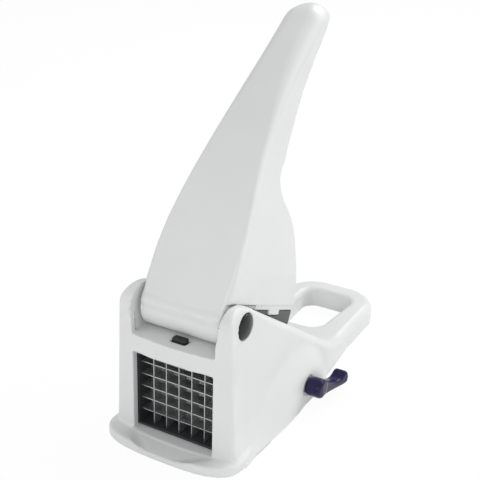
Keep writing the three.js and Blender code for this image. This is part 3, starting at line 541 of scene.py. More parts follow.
def solid(name, vertices, *faces, away=None):
    """A mesh object in metres from points in millimetres, arrays of quads or triangles, and the
    outward direction at each point where it is known."""
    mesh = bpy.data.meshes.new(name)
    sizes = np.concatenate([np.full(len(f), f.shape[1], np.int32) for f in faces])
    corners = np.concatenate([f.reshape(-1) for f in faces]).astype(np.int32)
    mesh.vertices.add(len(vertices))
    mesh.vertices.foreach_set("co", (np.asarray(vertices) * MM).astype(np.float32).ravel())
    mesh.loops.add(len(corners))
    mesh.loops.foreach_set("vertex_index", corners)
    mesh.polygons.add(len(sizes))
    starts = np.concatenate([[0], np.cumsum(sizes)[:-1]]).astype(np.int32)
    mesh.polygons.foreach_set("loop_start", starts)
    mesh.polygons.foreach_set("use_smooth", np.full(len(sizes), True))
    mesh.update(calc_edges=True)
    mesh.validate()
    if away is not None:
        mesh.normals_split_custom_set_from_vertices(away.astype(np.float32))
    piece = bpy.data.objects.new(name, mesh)
    bpy.context.scene.collection.objects.link(piece)
    return piece


def turn_points(points, angle, centre_y, centre_z):
    """Points turned about the cross axis by an angle and set on a centre."""
    cosine, sine = math.cos(angle), math.sin(angle)
    out = points.copy()
    out[:, 1] = points[:, 1] * cosine - points[:, 2] * sine + centre_y
    out[:, 2] = points[:, 1] * sine + points[:, 2] * cosine + centre_z
    return out


def hinged(name, net, angle):
    """A piece from a net about the hinge, turned by an angle and set on the hinge."""
    vertices, quads, away = net
    return solid(name, turn_points(vertices, angle, PIVOT_Y, PIVOT_Z), quads,
                 away=turn_points(away, angle, 0.0, 0.0))


def place(piece, body, material, node):
    """Rides a piece on its body, gives its material and stands it for its node."""
    piece.data.materials.append(material)
    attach(piece, body)
    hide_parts(node)


def dress(material, *names):
    """Gives CAD nodes another material and leaves all else of them."""
    for name in names:
        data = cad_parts[name].data
        data.materials.clear()
        data.materials.append(material)


# Shader maths

class Value:
    """A socket that takes part in sums: each operator adds its Math node."""

    def __init__(self, graph, socket):
        self.graph = graph
        self.socket = socket

    def __add__(self, other):
        return self.graph.maths("ADD", self, other)

    def __radd__(self, other):
        return self.graph.maths("ADD", other, self)

    def __mul__(self, other):
        return self.graph.maths("MULTIPLY", self, other)

    def __rmul__(self, other):
        return self.graph.maths("MULTIPLY", other, self)


class Graph:
    """A node tree under work."""

    def __init__(self, tree):
        self.tree = tree

    def node(self, kind, settings=None, inputs=None):
        """Adds a node: its settings first, then the value or link of each socket."""
        made = self.tree.nodes.new(kind)
        for key, value in (settings or {}).items():
            setattr(made, key, value)
        for key, value in (inputs or {}).items():
            self.feed(made.inputs[key], value)
        return {s.name: Value(self, s) for s in made.outputs if s.enabled}

    def feed(self, socket, value):
        """Links a value to a socket, or sets the socket to a plain number or colour."""
        if isinstance(value, Value):
            self.tree.links.new(value.socket, socket)
        else:
            socket.default_value = value

    def maths(self, operation, first, second):
        """One Math node on two values or numbers."""
        return self.node("ShaderNodeMath", {"operation": operation}, {0: first, 1: second})["Value"]

    def swap(self, output, seen, shader, plain):
        """Feeds an output one shader by default, and another where a ray is of the kind seen."""
        mixed = self.node("ShaderNodeMixShader", {}, {0: seen, 1: shader, 2: plain})["Shader"]
        self.feed(self.tree.nodes[output].inputs["Surface"], mixed)


class Finish(Graph):
    """One material under work: its node tree and the shader that the sums feed."""

    def __init__(self, name, **constants):
        self.material = bpy.data.materials.new(name)
        self.material.use_nodes = True
        super().__init__(self.material.node_tree)
        self.shader = self.tree.nodes["Principled BSDF"]
        self.out(**constants)

    def out(self, **values):
        """Sets or links the shader's sockets, whose names have an underscore for each space."""
        for name, value in values.items():
            self.feed(self.shader.inputs[name.replace("_", " ")], value)
        return self.material

    def where(self):
        """The place on the piece."""
        return self.node("ShaderNodeTexCoord")["Object"]

    def noise(self, scale, detail, roughness, vector=None):
        """Soft noise, 0 to 1, of about so many waves to the metre."""
        inputs = {"Scale": scale, "Detail": detail, "Roughness": roughness,
                  "Vector": vector or self.where()}
        return self.node("ShaderNodeTexNoise", {}, inputs)["Fac"]

    def band(self, value, low, high, out_low=0.0, out_high=1.0):
        """Maps a value between two levels to two others and holds it there."""
        inputs = {"Value": value, "From Min": low, "From Max": high, "To Min": out_low,
                  "To Max": out_high}
        return self.node("ShaderNodeMapRange", {"clamp": True}, inputs)["Result"]

    def blend(self, factor, first, second):
        """Colour between two colours by a factor."""
        return self.node("ShaderNodeMix", {"data_type": "RGBA"},
                         {0: factor, 6: first, 7: second})["Result"]

    def bump(self, height, strength, distance):
        """Direction of a surface with a fine relief."""
        inputs = {"Height": height, "Strength": strength, "Distance": distance}
        return self.node("ShaderNodeBump", {}, inputs)["Normal"]


def colour(values, gain=1.0):
    """A colour for a socket, lighter or darker by a gain."""
    return (values[0] * gain, values[1] * gain, values[2] * gain, 1.0)


def moulded(name, base, rough, grain, mottle, **constants):
    """Injection-moulded plastic: a faint cloudiness of tone, a gloss that varies a little, and a
    fine spark-eroded grain."""
    f = Finish(name, **constants)
    cloud = f.noise(CLOUD_SCALE, 4.0, 0.55)
    fine = f.noise(GRAIN_SCALE, 2.0, 0.6)
    speck = f.noise(SPECK_SCALE, 3.0, 0.5)
    tone = f.blend(f.band(cloud, NOISE_LOW, NOISE_HIGH), colour(base, 1.0 - mottle),
                   colour(base, 1.0 + mottle * 0.4))
    roughness = f.band(cloud * 0.6 + speck * 0.4, NOISE_LOW, NOISE_HIGH, rough - 0.04, rough + 0.05)
    height = fine * 0.7 + speck * 0.3
    return f.out(Base_Color=tone, Roughness=roughness, Normal=f.bump(height, grain, 0.0004))


def white_moulding(look):
    """White plastic of body and lever."""
    return moulded("white_moulding", look.white, rough=0.36, grain=0.018, mottle=0.018,
                   Specular_IOR_Level=0.42)


def charcoal_moulding(look):
    """Dark plastic of the blade frame."""
    return moulded("charcoal_moulding", look.charcoal, rough=0.5, grain=0.05, mottle=0.18,
                   Specular_IOR_Level=0.4)


def button_moulding(look):
    """Near black plastic of the catch."""
    return moulded("button_moulding", look.button, rough=0.4, grain=0.04, mottle=0.15)


def grey_moulding(look):
    """Grey plastic of the pusher."""
    return moulded("grey_moulding", look.grey, rough=0.44, grain=0.04, mottle=0.08)


def inner_moulding(look):
    """Light grey plastic of the stem and the crank shaft."""
    return moulded("inner_moulding", look.inner, rough=0.5, grain=0.04, mottle=0.06)


def cap_moulding(look):
    """Glossy black plastic of the hinge caps."""
    return moulded("cap_moulding", look.cap, rough=0.22, grain=0.012, mottle=0.1,
                   Specular_IOR_Level=0.3)


def purple_moulding(look):
    """Glossy navy purple plastic of the suction lever."""
    return moulded("purple_moulding", look.purple, rough=0.17, grain=0.012, mottle=0.12,
                   Specular_IOR_Level=0.2)


def soft_rubber(look):
    """Black rubber, mottled and dull."""
    f = Finish("soft_rubber", Specular_IOR_Level=0.3)
    cloud = f.noise(RUBBER_CLOUD_SCALE, 4.0, 0.6)
    fine = f.noise(RUBBER_GRAIN_SCALE, 3.0, 0.6)
    tone = f.blend(f.band(cloud, 0.35, 0.7), colour(look.rubber, 0.8), colour(look.rubber, 1.5))
    rough = f.band(fine, 0.3, 0.7, 0.55, 0.75)
    return f.out(Base_Color=tone, Roughness=rough, Normal=f.bump(fine, 0.15, 0.0003))


def ground_steel(look, name, along, rough):
    """Ground steel: fine scratches drawn out along one axis and a faint cloud of tone."""
    f = Finish(name, Metallic=0.85)
    mapped = f.node("ShaderNodeMapping", {}, {"Vector": f.where(), "Scale": along})["Vector"]
    lines = f.noise(STEEL_LINE_SCALE, 4.0, 0.65, mapped)
    cloud = f.noise(STEEL_CLOUD_SCALE, 3.0, 0.5)
    tone = f.blend(f.band(lines * 0.6 + cloud * 0.4, 0.3, 0.7), colour(look.steel, 0.78),
                   colour(look.steel, 1.06))
    roughness = f.band(lines, 0.3, 0.7, rough - 0.06, rough + 0.1)
    return f.out(Base_Color=tone, Roughness=roughness, Normal=f.bump(lines, 0.12, 0.0002))


# Body

def top_height(y):
    """Upper edge of the side: a quarter ellipse up the ear, a circle over it, a straight fall, and
    a hollow circle that runs out level on the loop."""
    slope = math.atan(RIM_SLOPE)
    sine, cosine = math.sin(slope), math.cos(slope)
    front = FRONT_Y - FRONT_BOW
    offset = RIM_Y * sine + RIM_Z * cosine
    arc = (offset - EAR_TOP_Y * sine - EAR_TOP_Z * cosine) / (1.0 - cosine)
    arc_end = EAR_TOP_Y + arc * sine
    foot = RIM_Y + (RIM_Z - LOOP_Z) / RIM_SLOPE
    blend_end = foot + LOOP_BLEND * math.tan(slope / 2.0)
    blend_start = blend_end - LOOP_BLEND * sine
    share = np.clip((EAR_TOP_Y - y) / (EAR_TOP_Y - front), 0.0, 1.0)
    ear = EAR_FRONT_Z + (EAR_TOP_Z - EAR_FRONT_Z) * np.sqrt(1.0 - share ** 2)
    over = EAR_TOP_Z - arc + np.sqrt(np.maximum(arc ** 2 - (y - EAR_TOP_Y) ** 2, 1.0))
    fall = RIM_Z - (y - RIM_Y) * RIM_SLOPE
    hollow = LOOP_Z + LOOP_BLEND - np.sqrt(np.maximum(LOOP_BLEND ** 2 - (blend_end - y) ** 2, 1.0))
    out = np.where(y < EAR_TOP_Y, ear, over)
    out = np.where(y > arc_end, fall, out)
    out = np.where(y > blend_start, hollow, out)
    return np.where(y > blend_end, LOOP_Z, out)


def half_width(y, z):
    """Half the body's width: a drafted wall that narrows to the loop, a skirt that grows with the
    square of the depth below its top, and a level bulge inside an arch over the suction foot."""
    along = np.clip((y - LOOP_TAPER_Y) / (LOOP_REAR - LOOP_TAPER_Y), 0.0, 1.0)
    before = SKIRT_FRONT + (SKIRT_MOST - SKIRT_FRONT) * ramp((y - FRONT_Y) / SKIRT_MOST_Y)
    after = SKIRT_MOST * (1.0 - np.clip((y - SKIRT_MOST_Y) / (SKIRT_END_Y - SKIRT_MOST_Y), 0.0, 1.0))
    flare = np.where(y < SKIRT_MOST_Y, before, after)
    skirt = (1.0 - np.clip(z / SKIRT_Z, 0.0, 1.0)) ** 2
    skirt *= np.clip((y - EAR_FLARE_Y) / SKIRT_GROW, 0.0, 1.0)
    width = BODY_HALF - (BODY_HALF - LOOP_HALF) * along - DRAFT * z + flare * skirt
    reach = np.where(y < FENDER_Y, FENDER_FRONT, FENDER_REAR)
    ratio = np.hypot((y - FENDER_Y) / reach, np.maximum(z, 0.0) / FENDER_Z)
    bulge = ramp((1.0 + FENDER_BAND - ratio) / (FENDER_BAND * 2.0))
    width = width + np.maximum(FENDER_HALF - width, 0.0) * bulge
    return width + EAR_FLARE * (1.0 - np.clip((y - EAR_FLARE_Y) / EAR_FLARE_LENGTH, 0.0, 1.0)) ** 2


def even(value, slope):
    """A level made into a near distance: divided by the length of its slope."""
    return value / np.sqrt(1.0 + slope ** 2)


def side_field(x, y, z):
    """Near distance to the side: the overshoot past the half width, divided by its slope's length."""
    reach = SLOPE_STEP
    rise = (half_width(y, z + reach) - half_width(y, z - reach)) / (2.0 * reach)
    run = (half_width(y + reach, z) - half_width(y - reach, z)) / (2.0 * reach)
    return (x - half_width(y, z)) / np.sqrt(1.0 + rise ** 2 + run ** 2)


def top_field(y, z):
    """Near distance to the sloping top, with its steepest stretch held back."""
    rise = (top_height(y + SLOPE_STEP) - top_height(y - SLOPE_STEP)) / (2.0 * SLOPE_STEP)
    return even(z - top_height(y), np.clip(rise, -TOP_STEEPEST, TOP_STEEPEST))


def hole_field(x, y):
    """Plan of the loop's hole: two slanted sides, a front and a rear edge, and round corners."""
    slant = (HOLE_HALF_REAR - HOLE_HALF_FRONT) / (HOLE_REAR - HOLE_FRONT)
    sides = even(x - HOLE_HALF_FRONT - (y - HOLE_FRONT) * slant, slant)
    ends = np.maximum(HOLE_FRONT - y, y - HOLE_REAR)
    return meet(sides, ends, HOLE_CORNER)


def chamber_field(x, y, z):
    """Space of the chamber: above a level floor, within a circle about the hinge, between walls."""
    circle = np.where(z < PIVOT_Z, np.hypot(y - PIVOT_Y, z - PIVOT_Z), np.abs(y - PIVOT_Y)) - TROUGH
    low = meet(WINDOW_LOW - z, circle, CHAMBER_FLOOR_ROUND)
    return meet(low, x - CHAMBER_HALF, CHAMBER_SIDE_ROUND)


def flange_field(x, y, z):
    """Foot flange: a rounded-box curve in plan with a rounded upper edge, and the ramp cut in."""
    a = x / FLANGE_HALF
    b = np.maximum(-y, 0.0) / -FLANGE_FRONT
    power = FLANGE_POWER
    level = (a ** power + b ** power) ** (1.0 / power) + TINY
    slope = np.hypot(a ** (power - 1) / FLANGE_HALF, b ** (power - 1) / -FLANGE_FRONT)
    slope = slope / level ** (power - 1)
    bow = (level - 1.0) / np.maximum(slope, 1e-4)
    fade = x - FLANGE_HALF * (1.0 - FLANGE_FADE * ramp(y / FLANGE_BACK))
    plan = np.where(y < 0.0, bow, np.maximum(fade, y - FLANGE_BACK))
    plate = meet(meet(plan, z - FLANGE_Z, FLANGE_ROUND), -z, BOTTOM_EDGE)
    run = FRONT_Y - FLANGE_FRONT
    depth = y - FRONT_Y
    fall = (WINDOW_LOW - RAMP_LIP_Z) / run
    spread = (RAMP_TOP_HALF - RAMP_LIP_HALF) / run
    above = even(WINDOW_LOW + depth * fall - z, fall)
    lean = RAMP_LEAN * (z - WINDOW_LOW)
    within = even(x - RAMP_TOP_HALF - depth * spread - lean, math.hypot(spread, RAMP_LEAN))
    cut = meet(meet(above, within, RAMP_ROUND), y - RAMP_BACK, CLOSE)
    return carve(plate, cut, MILD)


def body_walls(x, y, z):
    """Outer form without its underside: side, bowed front, round rear and the sloping top."""
    front = even(FRONT_Y - FRONT_BOW + FRONT_BOW * (x / WINDOW_HALF) ** 2 - y,
                 2.0 * FRONT_BOW * x / WINDOW_HALF ** 2)
    walls = meet(side_field(x, y, z), front, CORNER)
    walls = meet(walls, y - LOOP_REAR, LOOP_CORNER)
    edge = EAR_EDGE + (RIM_EDGE - EAR_EDGE) * ramp((y - EAR_EDGE_Y) / EAR_EDGE_GROW)
    edge = edge + (LOOP_EDGE - RIM_EDGE) * ramp((y - RIM_Y) / LOOP_EDGE_GROW)
    return meet(walls, top_field(y, z), edge)


def body_hollow(walls, chamber, hole, y, z):
    """Hollow underneath: inside the walls, behind the front, and outside the walls of the chamber,
    of the ears' roots and of the loop's hole."""
    hollow = meet(walls + WALL, HOLLOW_FRONT - y, INNER_ROUND)
    hollow = carve(hollow, chamber - WALL, INNER_ROUND)
    hollow = carve(hollow, meet(y - EAR_ROOT_Y, EAR_ROOT_Z - z, EAR_ROOT_EDGE), INNER_ROUND)
    return carve(hollow, hole - WALL, INNER_ROUND)


def stem_well(x, y, z):
    """Square tube that guides the suction stem: a wall outside a rectangle, between two heights."""
    inside = np.maximum(x - WELL_HALF_X, np.abs(y - EYE_Y) - WELL_HALF_Y)
    wall = np.maximum(inside - WELL_WALL, -inside)
    return np.maximum(wall, np.maximum(WELL_LOW - z, z - WELL_HIGH))


def chamber_cut(chamber, x, y, z):
    """What the chamber takes from the body: all but the sill, the ledge and the front strips, which
    fade out up the ears."""
    front = y - FRONT_Y - FRONT_WALL
    sill = np.maximum(front, z - LEDGE_Z)
    shelf = np.maximum(np.maximum(y - LEDGE_BACK, z - LEDGE_Z), LEDGE_Z - LEDGE_THICK - z)
    fade = ramp((z - LEDGE_Z - RECESS_START) / RECESS_GROW)
    strip = np.maximum(front, RECESS_HALF + (RECESS_OPEN - RECESS_HALF) * fade - x)
    return carve(chamber, np.minimum(np.minimum(sill, shelf), strip), FINE)


def housing_field(p):
    """Base housing: body and flange joined by a hollow round, less the loop's hole, the hollow
    underneath, the chamber, the window, the button's slot, the hinge seats and the shaft's bore,
    and with the well and the boss."""
    side, y, z = p[:, 0], p[:, 1], p[:, 2]
    x = np.abs(side)
    walls = body_walls(x, y, z)
    body = fuse(meet(walls, -z, BOTTOM_EDGE), flange_field(x, y, z), FLANGE_FILLET)
    chamber = chamber_field(x, y, z)
    hole = hole_field(x, y)
    body = carve(body, hole, SOFT + (HOLE_LIP - SOFT) * ramp(z / HOLE_LIP_RISE))
    body = carve(body, body_hollow(walls, chamber, hole, y, z), SOFT)
    shaft = np.hypot(y - CUP_Y, z - SHAFT_Z)
    body = fuse(body, stem_well(x, y, z), MILD)
    body = fuse(body, rod(shaft, side, BOSS_RADIUS, BOSS_IN, BOSS_OUT, CLOSE), MILD)
    rim = FINE + (MILD - FINE) * ramp((z - LEDGE_Z - RIM_START) / RIM_GROW)
    body = carve(body, chamber_cut(chamber, x, y, z), rim)
    window = meet(x - WINDOW_HALF, np.maximum(WINDOW_LOW - z, z - WINDOW_HIGH), CLOSE)
    body = carve(body, np.maximum(window, y - WINDOW_BACK), FINE)
    slot = meet(np.abs(side - BUTTON_X) - BUTTON_HALF_X - SLOT_GAP,
                np.abs(y) - BUTTON_HALF_Y - SLOT_GAP, BUTTON_CORNER)
    body = carve(body, np.maximum(slot, TONGUE_LOW - SLOT_BELOW - z), FINE)
    hinge = np.hypot(y - PIVOT_Y, z - PIVOT_Z)
    body = carve(body, np.maximum(hinge - CAP_SEAT, CAP_INNER - x), CLOSE)
    body = carve(body, hinge - AXLE_BORE, CRISP)
    body = carve(body, np.maximum(shaft - SHAFT_BORE, -side), CRISP)
    return carve(body, np.maximum(shaft - HUB_SEAT, HUB_IN - HUB_GAP - side), FINE)


# Lever

def face_height(s):
    """Height of the lever's front face: a sine climb from the barrel, a slow fall along the grip
    and a quarter ellipse down the tip."""
    climb = np.sin(math.pi / 2.0 * np.clip((s - LEVER_START) / FACE_CLIMB, 0.0, 1.0))
    past = np.maximum(s - LEVER_START - FACE_CLIMB, 0.0) / FACE_FALL_LENGTH
    rise = FACE_Z_BARREL + (FACE_Z - FACE_Z_BARREL) * climb - FACE_FALL * past ** FACE_FALL_POWER
    tip = np.clip((s - LEVER_LENGTH + TIP_DROP) / TIP_DROP, 0.0, 0.998)
    return rise - (rise + TIP_BELOW) * (1.0 - np.sqrt(1.0 - tip ** 2))


def lever_half(s):
    """Half width of the lever's face: wide at the barrel, drawn in past its waist to the grip's own
    width, and a round end."""
    tip = np.clip((s - LEVER_LENGTH + TIP_TURN) / TIP_TURN, 0.0, 1.0)
    narrowing = 1.0 + (np.maximum(s, 0.0) / LEVER_WAIST) ** LEVER_WAIST_POWER
    half = LEVER_GRIP_HALF + (LEVER_ROOT_HALF - LEVER_GRIP_HALF) / narrowing
    return half * np.sqrt(np.maximum(1.0 - tip ** 2, 0.02))


def lever_body(x, s, h):
    """The closed outer form in three parts: near distances to the drafted sides and to the crowned
    face, and the radius of the shoulder where they meet."""
    reach = SLOPE_STEP
    face = face_height(s)
    lean = (lever_half(s + reach) - lever_half(s - reach)) / (2.0 * reach)
    side = even(x - lever_half(s) - LEVER_DRAFT * (face - h),
                np.clip(lean, -LEVER_STEEPEST, LEVER_STEEPEST))
    side = np.maximum(side, x - LEVER_SIDE)
    rise = (face_height(s + reach) - face_height(s - reach)) / (2.0 * reach)
    crown = LEVER_CROWN * (1.0 - np.minimum(x / CROWN_HALF, 1.0) ** 2)
    front = even(h - face - crown, np.clip(rise, -LEVER_STEEPEST, LEVER_STEEPEST))
    shoulder = np.minimum(curve(SHOULDER, s), SHOULDER_MOST * lever_half(s))
    return side, front, shoulder


def tilted(turn, along, offset):
    """A point at a distance along a tilted plate and off it, about the hinge."""
    return (offset * math.cos(turn) - along * math.sin(turn),
            -offset * math.sin(turn) - along * math.cos(turn))


def plate_frame(turn, a, b):
    """Distances along a tilted plate and off it, from the two coordinates in the side view."""
    along = -a * math.sin(turn) - b * math.cos(turn)
    offset = a * math.cos(turn) - b * math.sin(turn)
    return along, offset


def smooth_outline():
    """Closed side outline of the lever: a curve of cubic pieces through the measured points of the
    cheek's back and the grip, closed over the front."""
    knots = np.asarray(CHEEK_BACK, float)
    padded = np.concatenate([2 * knots[:1] - knots[1:2], knots, 2 * knots[-1:] - knots[-2:-1]])
    t = (np.arange(OUTLINE_STEPS) / OUTLINE_STEPS)[:, None, None]
    p0, p1, p2, p3 = padded[:-3], padded[1:-2], padded[2:-1], padded[3:]
    pieces = 0.5 * (2 * p1 + (p2 - p0) * t + (2 * p0 - 5 * p1 + 4 * p2 - p3) * t ** 2
                    + (3 * p1 - p0 - 3 * p2 + p3) * t ** 3)
    back = pieces.transpose(1, 0, 2).reshape(-1, 2)
    tip = LEVER_LENGTH + OUTLINE_LONGER
    start = [[LEVER_START, OUTLINE_OVER], [LEVER_START, 0.0], list(tilted(PLATE_TURN, 0.0, PLATE_OFF))]
    end = [[tip, 0.0], [tip, OUTLINE_OVER]]
    return np.concatenate([start, back, end])


def polygon_table(outline, low, high, step):
    """Signed distance to a polygon on a plane grid: the least distance to its sides, negative
    where a ray crosses them an odd number of times."""
    us = np.arange(low[0], high[0] + step, step)
    vs = np.arange(low[1], high[1] + step, step)
    grid = np.stack(np.meshgrid(us, vs, indexing="ij"), -1).reshape(-1, 1, 2)
    a = outline[None]
    b = np.roll(outline, -1, 0)[None]
    side = b - a
    best = np.empty(len(grid))
    odd = np.empty(len(grid), bool)
    for part in np.array_split(np.arange(len(grid)), TABLE_PARTS):
        p = grid[part]
        share = np.clip(((p - a) * side).sum(-1) / np.maximum((side ** 2).sum(-1), TINY), 0.0, 1.0)
        gap = p - a - share[..., None] * side
        best[part] = np.sqrt((gap ** 2).sum(-1).min(1))
        spans = (a[..., 1] > p[..., 1]) != (b[..., 1] > p[..., 1])
        rise = np.where(np.abs(side[..., 1]) < TINY, TINY, side[..., 1])
        cross = a[..., 0] + (p[..., 1] - a[..., 1]) / rise * side[..., 0]
        odd[part] = ((spans & (p[..., 0] < cross)).sum(1) % 2) == 1
    return np.where(odd, -best, best).reshape(len(us), len(vs)), low, step


def look_up(table, u, v):
    """Reads a plane table between its points, by the four nearest."""
    values, low, step = table
    fu = np.clip((u - low[0]) / step, 0.0, values.shape[0] - 1.001)
    fv = np.clip((v - low[1]) / step, 0.0, values.shape[1] - 1.001)
    iu, iv = fu.astype(int), fv.astype(int)
    du, dv = fu - iu, fv - iv
    near = values[iu, iv] * (1 - du) + values[iu + 1, iv] * du
    far = values[iu, iv + 1] * (1 - du) + values[iu + 1, iv + 1] * du
    return near * (1 - dv) + far * dv


def lever_shell(x, s, h, table):
    """Shell of the lever: the outer form within its side outline, less the open channel, which
    stops short of the barrel and of the plate, and with the grip's cross ribs."""
    side, front, shoulder = lever_body(x, s, h)
    offset = plate_frame(PLATE_TURN, s, h)[1]
    outer = meet(meet(side, front, shoulder), look_up(table, s, h), OUTLINE_EDGE)
    inner = np.maximum(shoulder - WALL / 2.0, MILD)
    channel = meet(side + WALL, front + WALL, inner)
    channel = meet(channel, s - LEVER_LENGTH + WALL * 2.0, INNER_ROUND)
    channel = carve(channel, np.hypot(s, h) - BARREL - CRISP, CHANNEL_BACK_EDGE)
    channel = carve(channel, offset - PLATE_OFF - PLATE_ROOT, MILD)
    shell = carve(outer, channel, CHANNEL_EDGE)
    for i in range(RIBS):
        middle = GRIP_START + RIB_GAP * (i + 1) + RIB_THICK / 2.0
        rib = np.maximum(np.abs(s - middle) - RIB_THICK / 2.0, RIB_LOW - h)
        rib = np.maximum(rib, meet(side + RIB_OVERLAP, front + RIB_OVERLAP, inner))
        shell = fuse(shell, rib, SOFT)
    return shell


def lever_field(table):
    """Lever: its shell with the barrel, the pusher's strip and its two snap tabs, less the step in
    its sides beside the ears and the axle's bore."""
    def field(p):
        x, s, h = np.abs(p[:, 0]), p[:, 1], p[:, 2]
        along, offset = plate_frame(PLATE_TURN, s, h)
        barrel = meet(np.hypot(s, h) - BARREL, x - LEVER_SIDE + BARREL_SHORT, BARREL_EDGE)
        crease = 1.0 - ramp((np.hypot(s - LEVER_START, h - BARREL) - CREASE_REACH) / CREASE_FADE)
        crease = crease * (1.0 - ramp((x - CREASE_HALF) / CREASE_FADE))
        shell = fuse(lever_shell(x, s, h, table), barrel, FINE + CREASE_ROUND * crease)
        low = PLATE_OFF - PLATE_THICK
        sides = x - LEVER_SIDE + PLATE_SHORT
        strip = np.maximum(np.maximum(low - offset, offset - PLATE_OFF - PLATE_ROOT),
                           np.maximum(-along, along - PLATE_END))
        strip = meet(strip, sides, CRISP)
        tab = np.maximum(np.abs(along - TAB_MIDDLE) - TAB_WIDTH / 2.0,
                         np.maximum(low - TAB_DROP - offset, offset - PLATE_OFF))
        tab = meet(tab, np.maximum(sides, PUSHER_HALF - SNAP_GAP - TAB_DEPTH - x), CRISP)
        shell = fuse(fuse(shell, strip, CRISP), tab, CRISP)
        step = np.maximum(np.maximum(offset - PLATE_OFF, along - STEP_LENGTH),
                          LEVER_SIDE - BARREL_SHORT - x)
        shell = carve(shell, step, FINE)
        return carve(shell, np.hypot(s, h) - AXLE_BORE, CRISP)
    return field


# Pusher, in the closed position about the hinge

def pusher_pegs(p):
    """A peg for every cell: coordinates folded into one cell, met with a square that narrows to the
    tip, within the grid's own rectangle."""
    x, y, z = np.abs(p[:, 0]), p[:, 1], p[:, 2]
    half = CELLS * CELL_X / 2.0
    height = z + PIVOT_Z - GRID_LOW
    column = np.mod(p[:, 0] + half, CELL_X) - CELL_X / 2.0
    row = np.mod(height, CELL_Z) - CELL_Z / 2.0
    grow = np.clip((y - PEG_TIP) / (PUSHER_FACE - PEG_TIP), 0.0, 1.2)
    reach = (PEG_TIP_SIDE + (PEG_SIDE - PEG_TIP_SIDE) * grow) / 2.0
    peg = meet(meet(np.abs(column) - reach, np.abs(row) - reach, MILD),
               np.maximum(PEG_TIP - y, y - PEG_ROOT), SOFT)
    return np.maximum(peg, np.maximum(x - half, np.maximum(height - CELLS * CELL_Z, -height)))


def pusher_field(p):
    """Pusher: a tray between its face and its tilted back, with ribs, a notch at each side for the
    lever's tabs, and pegs."""
    x, y, z = np.abs(p[:, 0]), p[:, 1], p[:, 2]
    along, offset = plate_frame(-PLATE_TILT, y, z)
    ends = np.maximum(z + PUSHER_TOP, -z - PUSHER_LOW)
    across = np.maximum(PUSHER_FACE - y, offset - PUSHER_BACK)
    body = meet(meet(across, ends, SOFT), x - PUSHER_HALF, SOFT)
    tray = np.maximum(PUSHER_FACE - y, np.maximum(ends, x - PUSHER_HALF)) + PUSHER_PLATE
    rib = np.minimum(x, np.abs(x - 2.0 * CELL_X)) - PUSHER_RIB_HALF
    body = carve(body, np.maximum(tray, -rib), FINE)
    notch = np.maximum(np.abs(along - TAB_MIDDLE) - TAB_WIDTH / 2.0 - SNAP_GAP,
                       PUSHER_BACK - TAB_DROP - SNAP_GAP - offset)
    notch = np.maximum(notch, PUSHER_HALF - TAB_DEPTH - 2.0 * SNAP_GAP - x)
    return fuse(carve(body, notch, FINE), pusher_pegs(p), CLOSE)


# Suction lever

def suction_lever_field(p):
    """Suction lever: a round hub and an arm that leans outward along its length, between a hollow
    upper line with a raised end for the thumb and a falling lower line."""
    x, y, z = p[:, 0], p[:, 1], p[:, 2]
    hub = rod(np.hypot(y - CUP_Y, z - SHAFT_Z), x, HUB_RADIUS, HUB_IN, HUB_OUT, HUB_EDGE)
    share = (y - CUP_Y) / ARM_LENGTH
    step = ARM_SLOPE_STEP
    top = curve(ARM_TOP, share) * HUB_RADIUS
    low = curve(ARM_LOW, share) * HUB_RADIUS
    rise = (curve(ARM_TOP, share + step) * HUB_RADIUS - top) / (step * ARM_LENGTH)
    fall = (curve(ARM_LOW, share + step) * HUB_RADIUS - low) / (step * ARM_LENGTH)
    above = even(z - SHAFT_Z - top, np.clip(rise, -ARM_STEEPEST, ARM_STEEPEST))
    below = even(SHAFT_Z + low - z, np.clip(fall, -ARM_STEEPEST, ARM_STEEPEST))
    outer = HUB_OUT + ARM_FLARE * np.clip(share, 0.0, 1.0) ** 2
    sides = np.maximum(x - outer, outer - ARM_THICK - x)
    ends = np.maximum(CUP_Y - ARM_END_ROUND - y, y - CUP_Y - ARM_LENGTH)
    arm = meet(meet(np.maximum(above, below), ends, ARM_END_ROUND), sides, ARM_EDGE)
    return fuse(hub, arm, ARM_FILLET)


# Catch

def catch_field(p):
    """Catch: a flat tongue fused with an upright button of rounded plan."""
    arm = block(p, (TONGUE_ROOT, -TONGUE_HALF, TONGUE_LOW),
                (BUTTON_X + BUTTON_HALF_X, TONGUE_HALF, TONGUE_HIGH), FINE)
    x, y, z = np.abs(p[:, 0] - BUTTON_X), np.abs(p[:, 1]), p[:, 2]
    plan = meet(x - BUTTON_HALF_X, y - BUTTON_HALF_Y, BUTTON_CORNER)
    button = meet(plan, np.maximum(z - BUTTON_TOP, TONGUE_LOW - z), BUTTON_EDGE)
    return fuse(arm, button, CLOSE)


# Hinge cap

def cap_profile():
    """Profile of a cap, radius and place along the axle: a disc with rounded rims under a dome,
    which is the arc of a circle that rises by the dome's height over the cap's radius."""
    top = CAP_OUTER + CAP_DOME
    foot = CAP_INNER + CAP_LIFT
    sphere = (CAP_RADIUS ** 2 + CAP_DOME ** 2) / (2.0 * CAP_DOME)
    angle = np.linspace(math.asin(CAP_RADIUS / sphere), 0.0, DOME_STEPS)
    dome = np.stack([sphere * np.sin(angle), top - sphere * (1.0 - np.cos(angle))], -1)
    disc = [(0.0, foot), (CAP_RADIUS, foot), (CAP_RADIUS, CAP_OUTER), tuple(dome[1])]
    return np.concatenate([rounded_profile(disc, (FINE, CLOSE)), dome[2:-1], [[0.0, top]]])


# Operators

